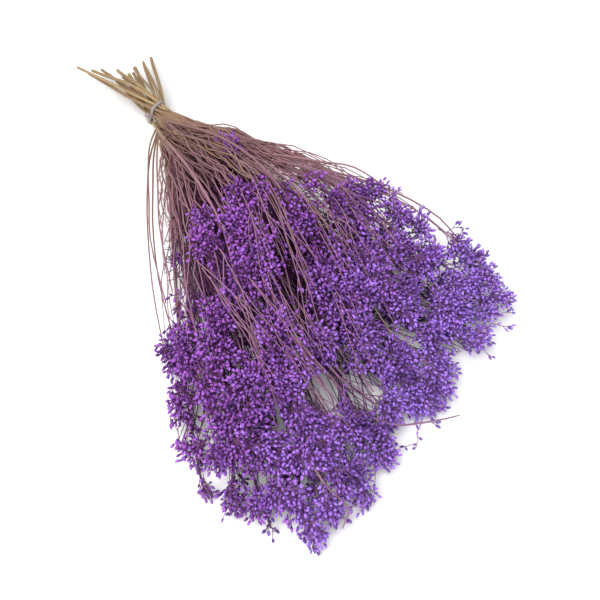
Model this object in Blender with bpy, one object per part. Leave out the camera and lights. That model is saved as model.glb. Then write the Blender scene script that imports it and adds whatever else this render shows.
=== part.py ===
"""A bunch of dried broom bloom, tied near its cut ends and lying on a surface.

The bunch lies along X, from its cut ends to its flower tips. Y is across the fan and Z is up.
Each stem is one solid, with its side branches, twigs and buds fused in. The tie is the other solid.
"""

import math
import random
from collections import namedtuple

import bmesh
import bpy
import numpy as np

# Sizes are in metres and angles in degrees. A fan angle is seen from above, from the neck, 0 along X.

# The neck, where the stems cross inside the tie
NECK = np.array((-0.1363, -0.0117, 0.024))
NECK_TWIST = 0.013
NECK_GAP = 0.0004
NECK_SLANT_ROOM = 1.10
NECK_STATIONS = np.linspace(-0.10, 0.14, 33)
NECK_ROUNDS = 600
NECK_PULL = 0.999
NECK_TAIL_SHARE = 1.2

# The main stems, in layers from the surface up
Layer = namedtuple("Layer", "fans tip_height tip_slope reach_share")
LAYERS = (
    Layer((-17.5, -12.0, -3.5, 7.5, 21.5), 0.000, 0.00, 1.00),
    Layer((-14.5, -6.0, 2.0, 13.0, 22.5), 0.030, -0.05, 0.96),
    Layer((-10.5, -1.0, 9.0, 18.5), 0.062, -0.16, 0.80),
    Layer((-8.0, 4.5), 0.090, -0.22, 0.64),
)
FAN_JITTER = 0.8
HEIGHT_JITTER = 0.004
REACH_JITTER = 0.015
STEM_RADII = (0.0010, 0.0015)
STEM_TIP_RADIUS = 0.00055
STEM_TAPER = 0.8
STEM_SIDES = 5
TAIL_STEPS = 2
FRONT_STEPS = 7

# How a main stem curves in front of the neck
NECK_FAN_SHARE = 1.12
TIP_FAN_SHARE = 0.72
RISE_SHARE = 1.3
TOUCHDOWN = 0.42

# The cut ends behind the neck
TAIL_LENGTH = 0.072
TAIL_WIDE_FAN = 24.0
TAIL_WIDE_EXTRA = 0.032
TAIL_JITTER = 0.006
TAIL_FAN_SHARE = 0.80
TAIL_TIP_HEIGHT = 0.010
TAIL_TIP_SHARE = 0.5
TAIL_LEAST_RADII = 1.05
CUT_SLANT = 0.9

# The outline of the flower head
HEAD_REACH = 0.330
HEAD_BULGE = 0.058
BULGE_FAN = -9.0
BULGE_WIDTH = 9.5
SHORT_FAN = -15.0
SHORT_LOSS = 0.0018
TIP_ROOM = 0.014
HEAD_FAN = (-22.0, 26.5)
RISING_SLOPE = 0.45
RISING_LOSS = 0.010
FALLING_SLOPE = 0.62
EDGE_HEIGHT = 0.015

# The slanting space that the light shows through
GAP_FOOT = np.array((0.293, 0.011, -NECK[2]))
GAP_LEAN = np.array((0.57, -0.29, 0.77))
GAP_RADIUS = 0.016

# The side branches. Each starts and ends at a share of its stem's length, and spreads this far from it.
Kind = namedtuple("Kind", "start end spread radii steps")
LIMB_RADII = (0.0008, 0.00048)
BRANCH_RADII = (0.00055, 0.00045)
KINDS = (
    Kind(0.06, 0.97, 0.026, LIMB_RADII, 5),
    Kind(0.11, 0.88, 0.026, LIMB_RADII, 5),
    Kind(0.16, 0.52, 0.018, BRANCH_RADII, 3),
    Kind(0.32, 0.74, 0.026, BRANCH_RADII, 3),
    Kind(0.46, 0.88, 0.020, BRANCH_RADII, 3),
    Kind(0.60, 0.99, 0.015, BRANCH_RADII, 3),
)
BRANCH_BEND = 1.8
BRANCH_DROOP = 0.004
BRANCH_SIDES = 4
BRANCH_END_JITTER = 0.03
BRANCH_TURN_JITTER = 20.0
BRANCH_SPREADS = (0.7, 1.2)

# The buds. Each place is at a share of its branch, on a twig that leans from it.
Place = namedtuple("Place", "share lean length")
PLACES = (
    Place(0.99, 12, 0.010),
    Place(0.93, 38, 0.014),
    Place(0.82, 42, 0.017),
    Place(0.70, 42, 0.018),
)
BUDS_A_STEM = 20
TWIG_RADIUS = 0.00043
TWIG_TURN_JITTER = 25.0
TWIG_SPREADS = (0.75, 1.25)
BUD_RADIUS = 0.0015
BUD_LENGTH = 0.0042
BUD_BELLY = 0.48
BUD_SIDES = 4
BUD_BEND = 0.35

# Placing without touching
GOLDEN_ANGLE = 137.5
CLEARANCE = 0.0004
NEAR = 0.004
TRIES = 24
SEED = 11
ON_SURFACE = 2e-6

# The tie: a slanted band of two turns with a knot and its two short ends
BAND_AT = 0.002
BAND_SLANT = 0.30
BAND_HALF = 0.0016
BAND_GAP = 0.0003
BAND_INNER = 0.0007
BAND_OUTER = 0.0008
BAND_GROOVE = 0.0004
BAND_INNER_SHARE = 0.75
BAND_OUTER_SHARE = 0.6
BAND_STATIONS = 32
CROSSING_SPAN = (0.5, 0.2)
CROSSING_STEPS = 40
KNOT_ANGLE = 165.0
KNOT_SIZE = np.array((0.0028, 0.0021, 0.0024))
KNOT_OUT = 0.0021
KNOT_END_WAYS = ((0.9, 0.5), (0.7, -0.9))
KNOT_END_LENGTH = 0.0060
KNOT_END_BEND = 1.6
KNOT_END_RADII = (0.0009, 0.0006)

STEM_COLOUR = (0.20, 0.07, 0.24)
STEM_SHADES = 0.15
STEM_ROUGHNESS = 0.7
TIE_COLOUR = (0.62, 0.55, 0.50)
TIE_ROUGHNESS = 0.4

UP = np.array((0.0, 0.0, 1.0))
ALMOST_NOTHING = 1e-20

Strand = namedtuple("Strand", "points radii sides")
Bud = namedtuple("Bud", "root neck tip")


# Lines and curves

def unit(vector):
    return vector / np.linalg.norm(vector)


def across(direction):
    """The two unit vectors square to a direction: one level, the other as near up as it gets."""
    side = unit(np.cross(UP, direction))
    return side, unit(np.cross(direction, side))


def hermite(start, start_slope, end, end_slope, span, t):
    """A cubic from start to end over a span, with the given slopes at its ends."""
    rise = 3 * t**2 - 2 * t**3
    return (
        (1 - rise) * start
        + rise * end
        + (t**3 - 2 * t**2 + t) * span * start_slope
        + (t**3 - t**2) * span * end_slope
    )


def ahead_and_aside(angle, length=1.0):
    """How far a line of this length goes ahead and aside at an angle in degrees."""
    return length * math.cos(math.radians(angle)), length * math.sin(math.radians(angle))


def nearest(p1, q1, p2, q2):
    """The distance between each of one set of straight pieces and each of another."""
    p1, q1 = p1[:, None, :], q1[:, None, :]
    p2, q2 = p2[None, :, :], q2[None, :, :]
    d1, d2, r = q1 - p1, q2 - p2, p1 - p2
    a = (d1 * d1).sum(-1)
    e = (d2 * d2).sum(-1)
    b = (d1 * d2).sum(-1)
    c = (d1 * r).sum(-1)
    f = (d2 * r).sum(-1)
    spread = a * e - b * b
    crossing = np.clip((b * f - c * e) / np.maximum(spread, ALMOST_NOTHING), 0, 1)
    s = np.where(spread > ALMOST_NOTHING, crossing, 0.0)
    t = np.clip((b * s + f) / np.maximum(e, ALMOST_NOTHING), 0, 1)
    s = np.clip((b * t - c) / np.maximum(a, ALMOST_NOTHING), 0, 1)
    return np.linalg.norm(p1 + d1 * s[..., None] - p2 - d2 * t[..., None], axis=-1)


# The outline of the head

def reach_at(fan):
    """How far the flower tips reach from the neck: furthest left of the middle, shorter at the left edge."""
    bulge = HEAD_BULGE * math.exp(-(((fan - BULGE_FAN) / BULGE_WIDTH) ** 2))
    loss = SHORT_LOSS * max(0.0, SHORT_FAN - fan) ** 2
    return HEAD_REACH + bulge - loss


def in_head(points):
    """True where all these points lie inside the head, which rises from the neck and falls to its tips."""
    x, y = (points - NECK)[..., :2].T
    fans = np.degrees(np.arctan2(y, x))
    out = np.hypot(x, y)
    to_edge = np.array([reach_at(fan) for fan in fans]) - out
    rising = NECK[2] + (RISING_SLOPE - RISING_LOSS * np.abs(fans)) * out
    falling = EDGE_HEIGHT + FALLING_SLOPE * to_edge
    inside = (fans > HEAD_FAN[0]) & (fans < HEAD_FAN[1]) & (to_edge > 0)
    return bool((inside & (points[..., 2] < np.minimum(rising, falling))).all())


def in_gap(point):
    """True in the slanting space that stays free of buds."""
    lean = unit(GAP_LEAN)
    from_foot = point - NECK - GAP_FOOT
    return np.linalg.norm(from_foot - lean * (from_foot @ lean)) < GAP_RADIUS


# The main stems

class Stem:
    """One main stem, from its cut end through the neck to its tip."""

    def __init__(self, number, layer, fan, rng):
        self.number = number
        self.on_floor = layer is LAYERS[0]
        reach = layer.reach_share * reach_at(fan) * (1 + rng.uniform(-REACH_JITTER, REACH_JITTER))
        self.radius = rng.uniform(*STEM_RADII)
        wide = abs(fan) / TAIL_WIDE_FAN
        tail = TAIL_LENGTH + TAIL_WIDE_EXTRA * wide + rng.uniform(-TAIL_JITTER, TAIL_JITTER)
        self.tip_height = layer.tip_height
        if not self.on_floor:
            self.tip_height += rng.uniform(-HEIGHT_JITTER, HEIGHT_JITTER)
        self.tip_slope = layer.tip_slope
        self.turn = rng.uniform(0, 360)
        self.neck = np.zeros(2)
        self.span, self.tip_side = ahead_and_aside(fan, reach - TIP_ROOM)
        turn = math.tan(math.radians(fan))
        self.side_slope = NECK_FAN_SHARE * turn
        self.tip_side_slope = TIP_FAN_SHARE * turn
        self.tail_side_slope = TAIL_FAN_SHARE * turn
        self.tail_span = tail * math.cos(math.atan(self.tail_side_slope))
        rise_span = self.span * (TOUCHDOWN if self.on_floor else 1)
        self.up_slope = RISE_SHARE * (self.tip_height - NECK[2]) / rise_span

    def radius_at(self, t):
        """The radius at share t of the span in front of the neck. A negative t is behind the neck."""
        return STEM_TIP_RADIUS + (self.radius - STEM_TIP_RADIUS) * np.clip(1 - t, 0, 1) ** STEM_TAPER

    def front(self, t):
        """Points in front of the neck, at shares t of the span."""
        t = np.asarray(t, float)
        y = hermite(self.neck[0], self.side_slope, self.tip_side, self.tip_side_slope, self.span, t)
        start = NECK[2] + self.neck[1]
        if self.on_floor:
            lying = self.radius_at(t) * math.cos(math.pi / STEM_SIDES)
            u = np.clip(t / TOUCHDOWN, 0, 1)
            z = lying + hermite(start - lying, self.up_slope, 0.0, 0.0, self.span * TOUCHDOWN, u)
        else:
            z = hermite(start, self.up_slope, self.tip_height, self.tip_slope, self.span, t)
        return np.stack([NECK[0] + self.span * t, NECK[1] + y, z], -1)

    def behind(self, t):
        """Points behind the neck, at shares t of the tail."""
        t = np.asarray(t, float)
        length = self.tail_span
        end_y = self.neck[0] - self.tail_side_slope * length
        end_z = max(self.radius * TAIL_LEAST_RADII, TAIL_TIP_HEIGHT + TAIL_TIP_SHARE * self.neck[1]) - NECK[2]
        drop = (end_z - self.neck[1]) / length
        y = hermite(self.neck[0], -self.side_slope, end_y, -self.tail_side_slope, length, t)
        z = hermite(self.neck[1], -self.up_slope, end_z, drop, length, t)
        return np.stack([NECK[0] - length * t, NECK[1] + y, NECK[2] + z], -1)

    def crossings(self, stations):
        """Where the stem crosses planes square to X, as Y and Z, at distances in front of the neck."""
        ahead = self.front(np.clip(stations / self.span, 0, 1))
        back = self.behind(np.clip(-stations / self.tail_span, 0, NECK_TAIL_SHARE))
        return np.where(stations[:, None] > 0, ahead, back)[:, 1:]

    def route(self):
        """The whole stem's points and radii, from the cut end to the tip."""
        back = np.linspace(1, 0, TAIL_STEPS + 1)[:-1]
        ahead = np.linspace(0, 1, FRONT_STEPS + 1)
        points = np.concatenate([self.behind(back), self.front(ahead)])
        radii = np.concatenate([self.radius_at(-back), self.radius_at(ahead)])
        return points, radii


def make_stems():
    rng = random.Random(SEED)
    stems = []
    for layer in LAYERS:
        for middle in layer.fans:
            fan = middle + rng.uniform(-FAN_JITTER, FAN_JITTER)
            stems.append(Stem(len(stems) + 1, layer, fan, rng))
    place_in_neck(stems)
    return stems


def place_in_neck(stems):
    """Lets each stem cross the neck beside its neighbours, so that no two touch on either side of it."""
    slopes = np.array([(-stem.up_slope, stem.side_slope) for stem in stems])
    for stem, slope in zip(stems, slopes - slopes.mean(0)):
        stem.neck = NECK_TWIST * slope
    for _ in range(NECK_ROUNDS):
        ease_apart(stems)


def ease_apart(stems):
    """Moves each pair of stems that is too close apart in the neck, and all of them a little together."""
    places = np.array([stem.crossings(NECK_STATIONS) for stem in stems])
    radii = np.array([stem.radius_at(NECK_STATIONS / stem.span) for stem in stems])
    apart = places[:, None] - places[None]
    distance = np.linalg.norm(apart, axis=-1)
    lack = NECK_SLANT_ROOM * (radii[:, None] + radii[None]) + NECK_GAP - distance
    lack[np.arange(len(stems)), np.arange(len(stems))] = -1
    worst = lack.argmax(-1)
    i, j = np.nonzero(lack.max(-1) > 0)
    k = worst[i, j]
    push = apart[i, j, k] / distance[i, j, k][:, None] * lack[i, j, k][:, None]
    moves = np.zeros((len(stems), 2))
    np.add.at(moves, i, 0.5 * push)
    for stem, move in zip(stems, moves):
        stem.neck = stem.neck * NECK_PULL + move


# The branches, twigs and buds

class Spray:
    """A stem with all that has been placed on it so far."""

    def __init__(self, stem):
        points, radii = stem.route()
        self.stem = stem
        self.strands = [Strand(points, radii, STEM_SIDES)]
        self.buds = []

    def pieces(self):
        """The starts, ends and radii of all the straight pieces of this spray."""
        starts = [strand.points[:-1] for strand in self.strands]
        ends = [strand.points[1:] for strand in self.strands]
        radii = [strand.radii[:-1] for strand in self.strands]
        for bud in self.buds:
            starts.append(np.array((bud.root, bud.neck)))
            ends.append(np.array((bud.neck, bud.tip)))
            radii.append(np.array((TWIG_RADIUS, BUD_RADIUS)))
        return np.concatenate(starts), np.concatenate(ends), np.concatenate(radii)


def is_clear(starts, ends, radii, sprays, own):
    """True where these straight pieces keep clear of every other spray."""
    low = np.minimum(starts, ends).min(0) - NEAR
    high = np.maximum(starts, ends).max(0) + NEAR
    for spray in sprays:
        if spray is own:
            continue
        other_starts, other_ends, other_radii = spray.pieces()
        near = (np.maximum(other_starts, other_ends) > low).all(1)
        near &= (np.minimum(other_starts, other_ends) < high).all(1)
        room = nearest(starts, ends, other_starts[near], other_ends[near])
        room = room - radii[:, None] - other_radii[near][None]
        if (room < CLEARANCE).any():
            return False
    return True


def branch(stem, kind, start, end, spread, turn):
    """A strand that leaves its stem at share start, bends back beside it and ends at share end."""
    u = np.linspace(0, 1, kind.steps + 1)
    base = stem.front(start + (end - start) * u)
    side, rise = across(unit(base[-1] - base[0]))
    level, up = ahead_and_aside(turn)
    away = side * level + rise * up
    if stem.on_floor:
        away[2] = abs(away[2])
    points = base + (spread * (1 - (1 - u) ** BRANCH_BEND))[:, None] * away
    points[:, 2] -= BRANCH_DROOP * u**2
    first, last = kind.radii
    radii = first + (last - first) * u
    points[1:, 2] = np.maximum(points[1:, 2], radii[1:])
    return Strand(points, radii, BRANCH_SIDES)


def add_branch(spray, sprays, kind, turn, rng):
    """Tries places round the stem for a branch of this kind until one is clear."""
    for attempt in range(TRIES):
        start = kind.start + rng.uniform(-BRANCH_END_JITTER, BRANCH_END_JITTER)
        end = kind.end + rng.uniform(-BRANCH_END_JITTER, BRANCH_END_JITTER)
        spread = kind.spread * rng.uniform(*BRANCH_SPREADS)
        at = turn + attempt * GOLDEN_ANGLE + rng.uniform(-BRANCH_TURN_JITTER, BRANCH_TURN_JITTER)
        strand = branch(spray.stem, kind, start, end, spread, at)
        points, radii = strand.points, strand.radii
        if in_head(points[1:]) and is_clear(points[:-1], points[1:], radii[:-1], sprays, spray):
            spray.strands.append(strand)
            return


def add_bud(spray, sprays, strand, place, turn, rng):
    """Tries places round a strand for a twig with a bud at its end, until one is clear."""
    at = place.share * (len(strand.points) - 1)
    i = min(int(at), len(strand.points) - 2)
    step = strand.points[i + 1] - strand.points[i]
    root = strand.points[i] + step * (at - i)
    along = unit(step)
    side, rise = across(along)
    for attempt in range(TRIES):
        around = turn + attempt * GOLDEN_ANGLE + rng.uniform(-TWIG_TURN_JITTER, TWIG_TURN_JITTER)
        level, up = ahead_and_aside(around)
        forward, outward = ahead_and_aside(place.lean * rng.uniform(*TWIG_SPREADS))
        heading = unit(along * forward + (side * level + rise * up) * outward)
        neck = root + heading * place.length * rng.uniform(*TWIG_SPREADS)
        bud = Bud(root, neck, neck + unit(heading + BUD_BEND * along) * BUD_LENGTH)
        if bud_fits(bud, spray, sprays):
            spray.buds.append(bud)
            return


def bud_fits(bud, spray, sprays):
    """True where a bud is off the surface, inside the head, outside the gap and clear of everything."""
    if min(bud.neck[2], bud.tip[2]) < BUD_RADIUS + CLEARANCE / 2:
        return False
    if in_gap(bud.neck) or in_gap(bud.tip) or not in_head(bud.tip[None]):
        return False
    starts = np.array((bud.root, bud.neck))
    ends = np.array((bud.neck, bud.tip))
    radii = np.array((TWIG_RADIUS, BUD_RADIUS))
    return is_clear(starts, ends, radii, sprays, spray) and not crowds_own(spray, bud)


def crowds_own(spray, bud):
    """True where a bud would touch another part of its own spray."""
    starts, ends, radii = spray.pieces()
    room = nearest(bud.neck[None], bud.tip[None], starts, ends)[0] - radii - BUD_RADIUS
    return (room < CLEARANCE).any()


def grow(stems):
    """Every stem's branches and buds, placed in turn so that none crosses another stem's."""
    sprays = [Spray(stem) for stem in stems]
    rngs = [random.Random(SEED * 1000 + stem.number) for stem in stems]
    for number, kind in enumerate(KINDS):
        for spray, rng in zip(sprays, rngs):
            add_branch(spray, sprays, kind, spray.stem.turn + number * GOLDEN_ANGLE, rng)
    for number, place in enumerate(PLACES):
        for spray, rng in zip(sprays, rngs):
            for k, strand in enumerate(spray.strands):
                turn = spray.stem.turn + (number + 3 * k) * GOLDEN_ANGLE
                if len(spray.buds) < BUDS_A_STEM:
                    add_bud(spray, sprays, strand, place, turn, rng)
    return sprays


# Solids

def loft(points, radii, sides, slant=0.0, slant_turn=0.0):
    """The corners and faces of a closed tube. It ends in a point where the last radius is nothing."""
    steps = np.diff(points, axis=0)
    steps = steps / np.linalg.norm(steps, axis=1)[:, None]
    headings = np.concatenate([steps[:1], steps[:-1] + steps[1:], steps[-1:]])
    first = 0.0 if sides % 2 else math.pi / sides
    angles = first + 2 * math.pi * np.arange(sides) / sides
    corners = []
    for number, (point, radius, heading) in enumerate(zip(points, radii, headings)):
        if radius == 0:
            corners.append(point)
            continue
        heading = unit(heading)
        side, rise = across(heading)
        ring = point + radius * (np.sin(angles)[:, None] * side + np.cos(angles)[:, None] * rise)
        if number == 0:
            ring = ring + slant * radius * np.cos(angles - slant_turn)[:, None] * heading
        corners.extend(ring)
    faces = [tuple(range(sides))]
    rings = len(points) - (radii[-1] == 0)
    for ring in range(rings - 1):
        for k in range(sides):
            a = ring * sides + k
            b = ring * sides + (k + 1) % sides
            faces.append((b, a, a + sides, b + sides))
    last = (rings - 1) * sides
    if radii[-1] == 0:
        faces += [(last + (k + 1) % sides, last + k, last + sides) for k in range(sides)]
    else:
        faces.append(tuple(range(last + sides - 1, last - 1, -1)))
    return corners, faces


def bud_loft(bud):
    """A twig with its bud: thin up to the bud's base, widest at its belly, and pointed."""
    belly = bud.neck + (bud.tip - bud.neck) * BUD_BELLY
    points = np.array((bud.root, bud.neck, belly, bud.tip))
    radii = np.array((TWIG_RADIUS, TWIG_RADIUS, BUD_RADIUS, 0.0))
    return loft(points, radii, BUD_SIDES)


def solid(name, corners, faces, collection):
    mesh = bpy.data.meshes.new(name)
    mesh.from_pydata([tuple(map(float, corner)) for corner in corners], [], faces)
    mesh.validate()
    obj = bpy.data.objects.new(name, mesh)
    collection.objects.link(obj)
    return obj


def fuse(obj, parts):
    """Joins the parts to the object with one union, and removes them."""
    group = bpy.data.collections.new("to fuse")
    bpy.context.scene.collection.children.link(group)
    for number, (corners, faces) in enumerate(parts):
        solid(f"{obj.name} part {number}", corners, faces, group)
    union = obj.modifiers.new("fuse", "BOOLEAN")
    union.operation = "UNION"
    union.operand_type = "COLLECTION"
    union.collection = group
    union.solver = "EXACT"
    graph = bpy.context.evaluated_depsgraph_get()
    fused = bpy.data.meshes.new_from_object(obj.evaluated_get(graph))
    obj.modifiers.clear()
    loose = obj.data
    obj.data = fused
    bpy.data.meshes.remove(loose)
    fused.name = obj.name
    for part in list(group.objects):
        mesh = part.data
        bpy.data.objects.remove(part)
        bpy.data.meshes.remove(mesh)
    bpy.data.collections.remove(group)


def finish(obj, colour, roughness):
    """Gives the object a material of its own, and no other."""
    material = bpy.data.materials.new(obj.name)
    material.use_nodes = True
    shader = material.node_tree.nodes["Principled BSDF"]
    shader.inputs["Base Color"].default_value = (*colour, 1.0)
    shader.inputs["Roughness"].default_value = roughness
    shader.inputs["Metallic"].default_value = 0.0
    material.diffuse_color = (*colour, 1.0)
    obj.data.materials.clear()
    obj.data.materials.append(material)


def lay_flat(mesh):
    """Puts the corners that lie on the surface exactly on it."""
    for vertex in mesh.vertices:
        if abs(vertex.co.z) < ON_SURFACE:
            vertex.co.z = 0.0


def build_spray(spray):
    main, *branches = spray.strands
    turn = math.radians(spray.stem.turn)
    corners, faces = loft(main.points, main.radii, main.sides, CUT_SLANT, turn)
    obj = solid(f"stem_{spray.stem.number:02d}", corners, faces, bpy.context.scene.collection)
    parts = [loft(strand.points, strand.radii, strand.sides) for strand in branches]
    parts += [bud_loft(bud) for bud in spray.buds]
    fuse(obj, parts)
    lay_flat(obj.data)
    shade = 1 + STEM_SHADES * math.sin(turn)
    finish(obj, [shade * value for value in STEM_COLOUR], STEM_ROUGHNESS)


# The tie

def slanted_crossings(stems, along):
    """Where the stems cross a slanted plane across the neck, as Y and Z from it, and their room there."""
    normal = unit(np.array((1.0, BAND_SLANT, 0.0)))
    tail, head = CROSSING_SPAN
    back = np.linspace(tail, 0, CROSSING_STEPS)[:-1]
    ahead = np.linspace(0, head, CROSSING_STEPS)
    places = []
    rooms = []
    for stem in stems:
        points = np.concatenate([stem.behind(back), stem.front(ahead)]) - NECK
        passed = points[:, 0] + BAND_SLANT * points[:, 1] - BAND_AT - along * math.hypot(1, BAND_SLANT)
        k = int(np.argmax(passed > 0))
        share = -passed[k - 1] / (passed[k] - passed[k - 1])
        step = points[k] - points[k - 1]
        places.append((points[k - 1] + share * step)[1:])
        rooms.append(stem.radius / (unit(step) @ normal) + BAND_GAP + BAND_INNER)
    return np.array(places), np.array(rooms)


def band_point(crossings, angle):
    """The middle of the band where it faces this way, and its outward direction, from the neck's centre."""
    outward = np.array((math.cos(angle), math.sin(angle)))
    best = None
    for places, rooms in crossings:
        far = places @ outward + rooms
        k = int(far.argmax())
        if best is None or far[k] > best[0]:
            best = (far[k], places[k] + rooms[k] * outward)
    y, z = best[1]
    middle = np.array((BAND_AT - BAND_SLANT * y, y, z))
    return middle, unit(np.array((-BAND_SLANT * outward[0], outward[0], outward[1])))


def band_loft(crossings):
    """The band: two turns side by side, with a groove between them, pulled tight round the stems."""
    axis = unit(np.array((1.0, BAND_SLANT, 0.0)))
    profile = (
        (-BAND_INNER, -BAND_INNER_SHARE * BAND_HALF),
        (-BAND_INNER, BAND_INNER_SHARE * BAND_HALF),
        (0.0, BAND_HALF),
        (BAND_OUTER, BAND_OUTER_SHARE * BAND_HALF),
        (BAND_GROOVE, 0.0),
        (BAND_OUTER, -BAND_OUTER_SHARE * BAND_HALF),
        (0.0, -BAND_HALF),
    )
    corners = []
    for k in range(BAND_STATIONS):
        middle, outward = band_point(crossings, 2 * math.pi * k / BAND_STATIONS)
        corners += [NECK + middle + outward * out + axis * along for out, along in profile]
    count = len(profile)
    faces = []
    for k in range(BAND_STATIONS):
        here = k * count
        there = (k + 1) % BAND_STATIONS * count
        for n in range(count):
            m = (n + 1) % count
            faces.append((here + n, here + m, there + m, there + n))
    return corners, faces


def knot_loft(centre, outward, axis):
    """A rounded knot, longest across the band."""
    ball = bmesh.new()
    bmesh.ops.create_icosphere(ball, subdivisions=2, radius=1.0)
    turned = np.cross(axis, outward)
    frame = np.array((axis, outward, turned)) * KNOT_SIZE[:, None]
    corners = [centre + np.array(vertex.co) @ frame for vertex in ball.verts]
    faces = [tuple(vertex.index for vertex in face.verts) for face in ball.faces]
    ball.free()
    return corners, faces


def knot_end_loft(centre, outward, axis, way, lift):
    """A short end of the band that comes out of the knot and bends along the stems."""
    turned = np.cross(outward, axis)
    heading = unit(outward + axis * way + turned * lift)
    bend = unit(outward / KNOT_END_BEND + axis * way * KNOT_END_BEND + turned * lift)
    points = centre + KNOT_END_LENGTH * np.array((0 * heading, heading / KNOT_END_BEND, bend))
    return loft(points, np.linspace(*KNOT_END_RADII, len(points)), STEM_SIDES)


def build_tie(stems):
    crossings = [slanted_crossings(stems, along) for along in (-BAND_HALF, 0.0, BAND_HALF)]
    corners, faces = band_loft(crossings)
    obj = solid("tie", corners, faces, bpy.context.scene.collection)
    axis = unit(np.array((1.0, BAND_SLANT, 0.0)))
    middle, outward = band_point(crossings, math.radians(KNOT_ANGLE))
    centre = NECK + middle + outward * KNOT_OUT
    ends = [knot_end_loft(centre, outward, axis, way, lift) for way, lift in KNOT_END_WAYS]
    fuse(obj, [knot_loft(centre, outward, axis), *ends])
    finish(obj, TIE_COLOUR, TIE_ROUGHNESS)


def clear_scene():
    for obj in list(bpy.data.objects):
        bpy.data.objects.remove(obj)


def main():
    clear_scene()
    stems = make_stems()
    for spray in grow(stems):
        build_spray(spray)
    build_tie(stems)


if __name__ == "__main__":
    main()
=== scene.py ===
"""A tied bunch of dried broom bloom, with the fine twigs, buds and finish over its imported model."""

import functools
import itertools
import math
import random
from collections import namedtuple

import bpy
import numpy as np
from bpy.props import FloatProperty, FloatVectorProperty, PointerProperty
from bpy.types import Operator, Panel, PropertyGroup
from mathutils import Matrix, Vector


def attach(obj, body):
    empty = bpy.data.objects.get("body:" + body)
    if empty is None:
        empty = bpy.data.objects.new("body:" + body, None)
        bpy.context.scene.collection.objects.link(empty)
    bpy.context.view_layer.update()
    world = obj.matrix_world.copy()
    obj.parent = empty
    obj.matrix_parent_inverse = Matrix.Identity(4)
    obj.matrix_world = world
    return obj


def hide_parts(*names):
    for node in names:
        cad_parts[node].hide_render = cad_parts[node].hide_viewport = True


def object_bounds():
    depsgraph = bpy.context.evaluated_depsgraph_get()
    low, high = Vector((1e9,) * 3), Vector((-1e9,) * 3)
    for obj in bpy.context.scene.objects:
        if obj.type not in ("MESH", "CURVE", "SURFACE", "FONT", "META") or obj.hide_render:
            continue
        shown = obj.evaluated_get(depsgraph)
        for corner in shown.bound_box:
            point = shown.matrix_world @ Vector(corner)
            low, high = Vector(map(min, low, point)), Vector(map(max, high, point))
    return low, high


bl_info = {
    "name": "Dried Broom Bloom",
    "version": (1, 0, 0),
    "blender": (4, 5, 0),
    "location": "3D View > Sidebar > Broom Bloom",
    "description": "Grows the twigs and buds of a tied bunch of dried broom bloom",
    "category": "Object",
}

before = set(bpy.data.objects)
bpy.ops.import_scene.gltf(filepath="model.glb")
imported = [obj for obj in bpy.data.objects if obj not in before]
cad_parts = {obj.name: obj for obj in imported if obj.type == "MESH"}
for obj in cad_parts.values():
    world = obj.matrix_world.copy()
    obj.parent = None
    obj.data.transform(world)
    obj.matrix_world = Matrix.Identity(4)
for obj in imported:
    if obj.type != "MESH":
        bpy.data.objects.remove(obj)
CAD_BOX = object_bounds()

# Sizes are in metres and angles in degrees. A fan angle is seen from above, from the neck, 0 along X.

# The neck and the main stems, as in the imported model
NECK = np.array((-0.1363, -0.0117, 0.024))
NECK_TWIST = 0.013
NECK_GAP = 0.0004
NECK_SLANT_ROOM = 1.10
NECK_STATIONS = np.linspace(-0.10, 0.14, 33)
NECK_ROUNDS = 600
NECK_PULL = 0.999
NECK_TAIL_SHARE = 1.2

Layer = namedtuple("Layer", "fans tip_height tip_slope reach_share")
LAYERS = (
    Layer((-17.5, -12.0, -3.5, 7.5, 21.5), 0.000, 0.00, 1.00),
    Layer((-14.5, -6.0, 2.0, 13.0, 22.5), 0.030, -0.05, 0.96),
    Layer((-10.5, -1.0, 9.0, 18.5), 0.062, -0.16, 0.80),
    Layer((-8.0, 4.5), 0.090, -0.22, 0.64),
)
FAN_JITTER = 0.8
HEIGHT_JITTER = 0.004
REACH_JITTER = 0.015
STEM_RADII = (0.0010, 0.0015)
STEM_TIP_RADIUS = 0.00055
STEM_TAPER = 0.8
STEM_SIDES = 5

NECK_FAN_SHARE = 1.12
TIP_FAN_SHARE = 0.72
RISE_SHARE = 1.3
TOUCHDOWN = 0.42

TAIL_LENGTH = 0.072
TAIL_WIDE_FAN = 24.0
TAIL_WIDE_EXTRA = 0.032
TAIL_JITTER = 0.006
TAIL_FAN_SHARE = 0.80
TAIL_TIP_HEIGHT = 0.010
TAIL_TIP_SHARE = 0.5
TAIL_LEAST_RADII = 1.05
CUT_SLANT = 0.9

HEAD_REACH = 0.330
HEAD_BULGE = 0.058
BULGE_FAN = -9.0
BULGE_WIDTH = 9.5
SHORT_FAN = -15.0
SHORT_LOSS = 0.0018
TIP_ROOM = 0.014
HEAD_FAN = (-22.0, 26.5)
RISING_SLOPE = 0.45
RISING_LOSS = 0.010
FALLING_SLOPE = 0.62
EDGE_HEIGHT = 0.015

GAP_FEET = np.array(((0.281, 0.000, -NECK[2]), (0.295, 0.021, -NECK[2])))
GAP_LEAN = np.array((0.57, -0.29, 0.77))
GAP_RADIUS = 0.012

Kind = namedtuple("Kind", "start end spread radii steps")
LIMB_RADII = (0.0008, 0.00048)
BRANCH_RADII = (0.00055, 0.00045)
KINDS = (
    Kind(0.06, 0.97, 0.026, LIMB_RADII, 5),
    Kind(0.11, 0.88, 0.026, LIMB_RADII, 5),
    Kind(0.16, 0.52, 0.018, BRANCH_RADII, 3),
    Kind(0.32, 0.74, 0.026, BRANCH_RADII, 3),
    Kind(0.46, 0.88, 0.020, BRANCH_RADII, 3),
    Kind(0.60, 0.99, 0.015, BRANCH_RADII, 3),
)
BRANCH_BEND = 1.8
BRANCH_DROOP = 0.004
BRANCH_END_JITTER = 0.03
BRANCH_TURN_JITTER = 20.0
BRANCH_SPREADS = (0.7, 1.2)

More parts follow.
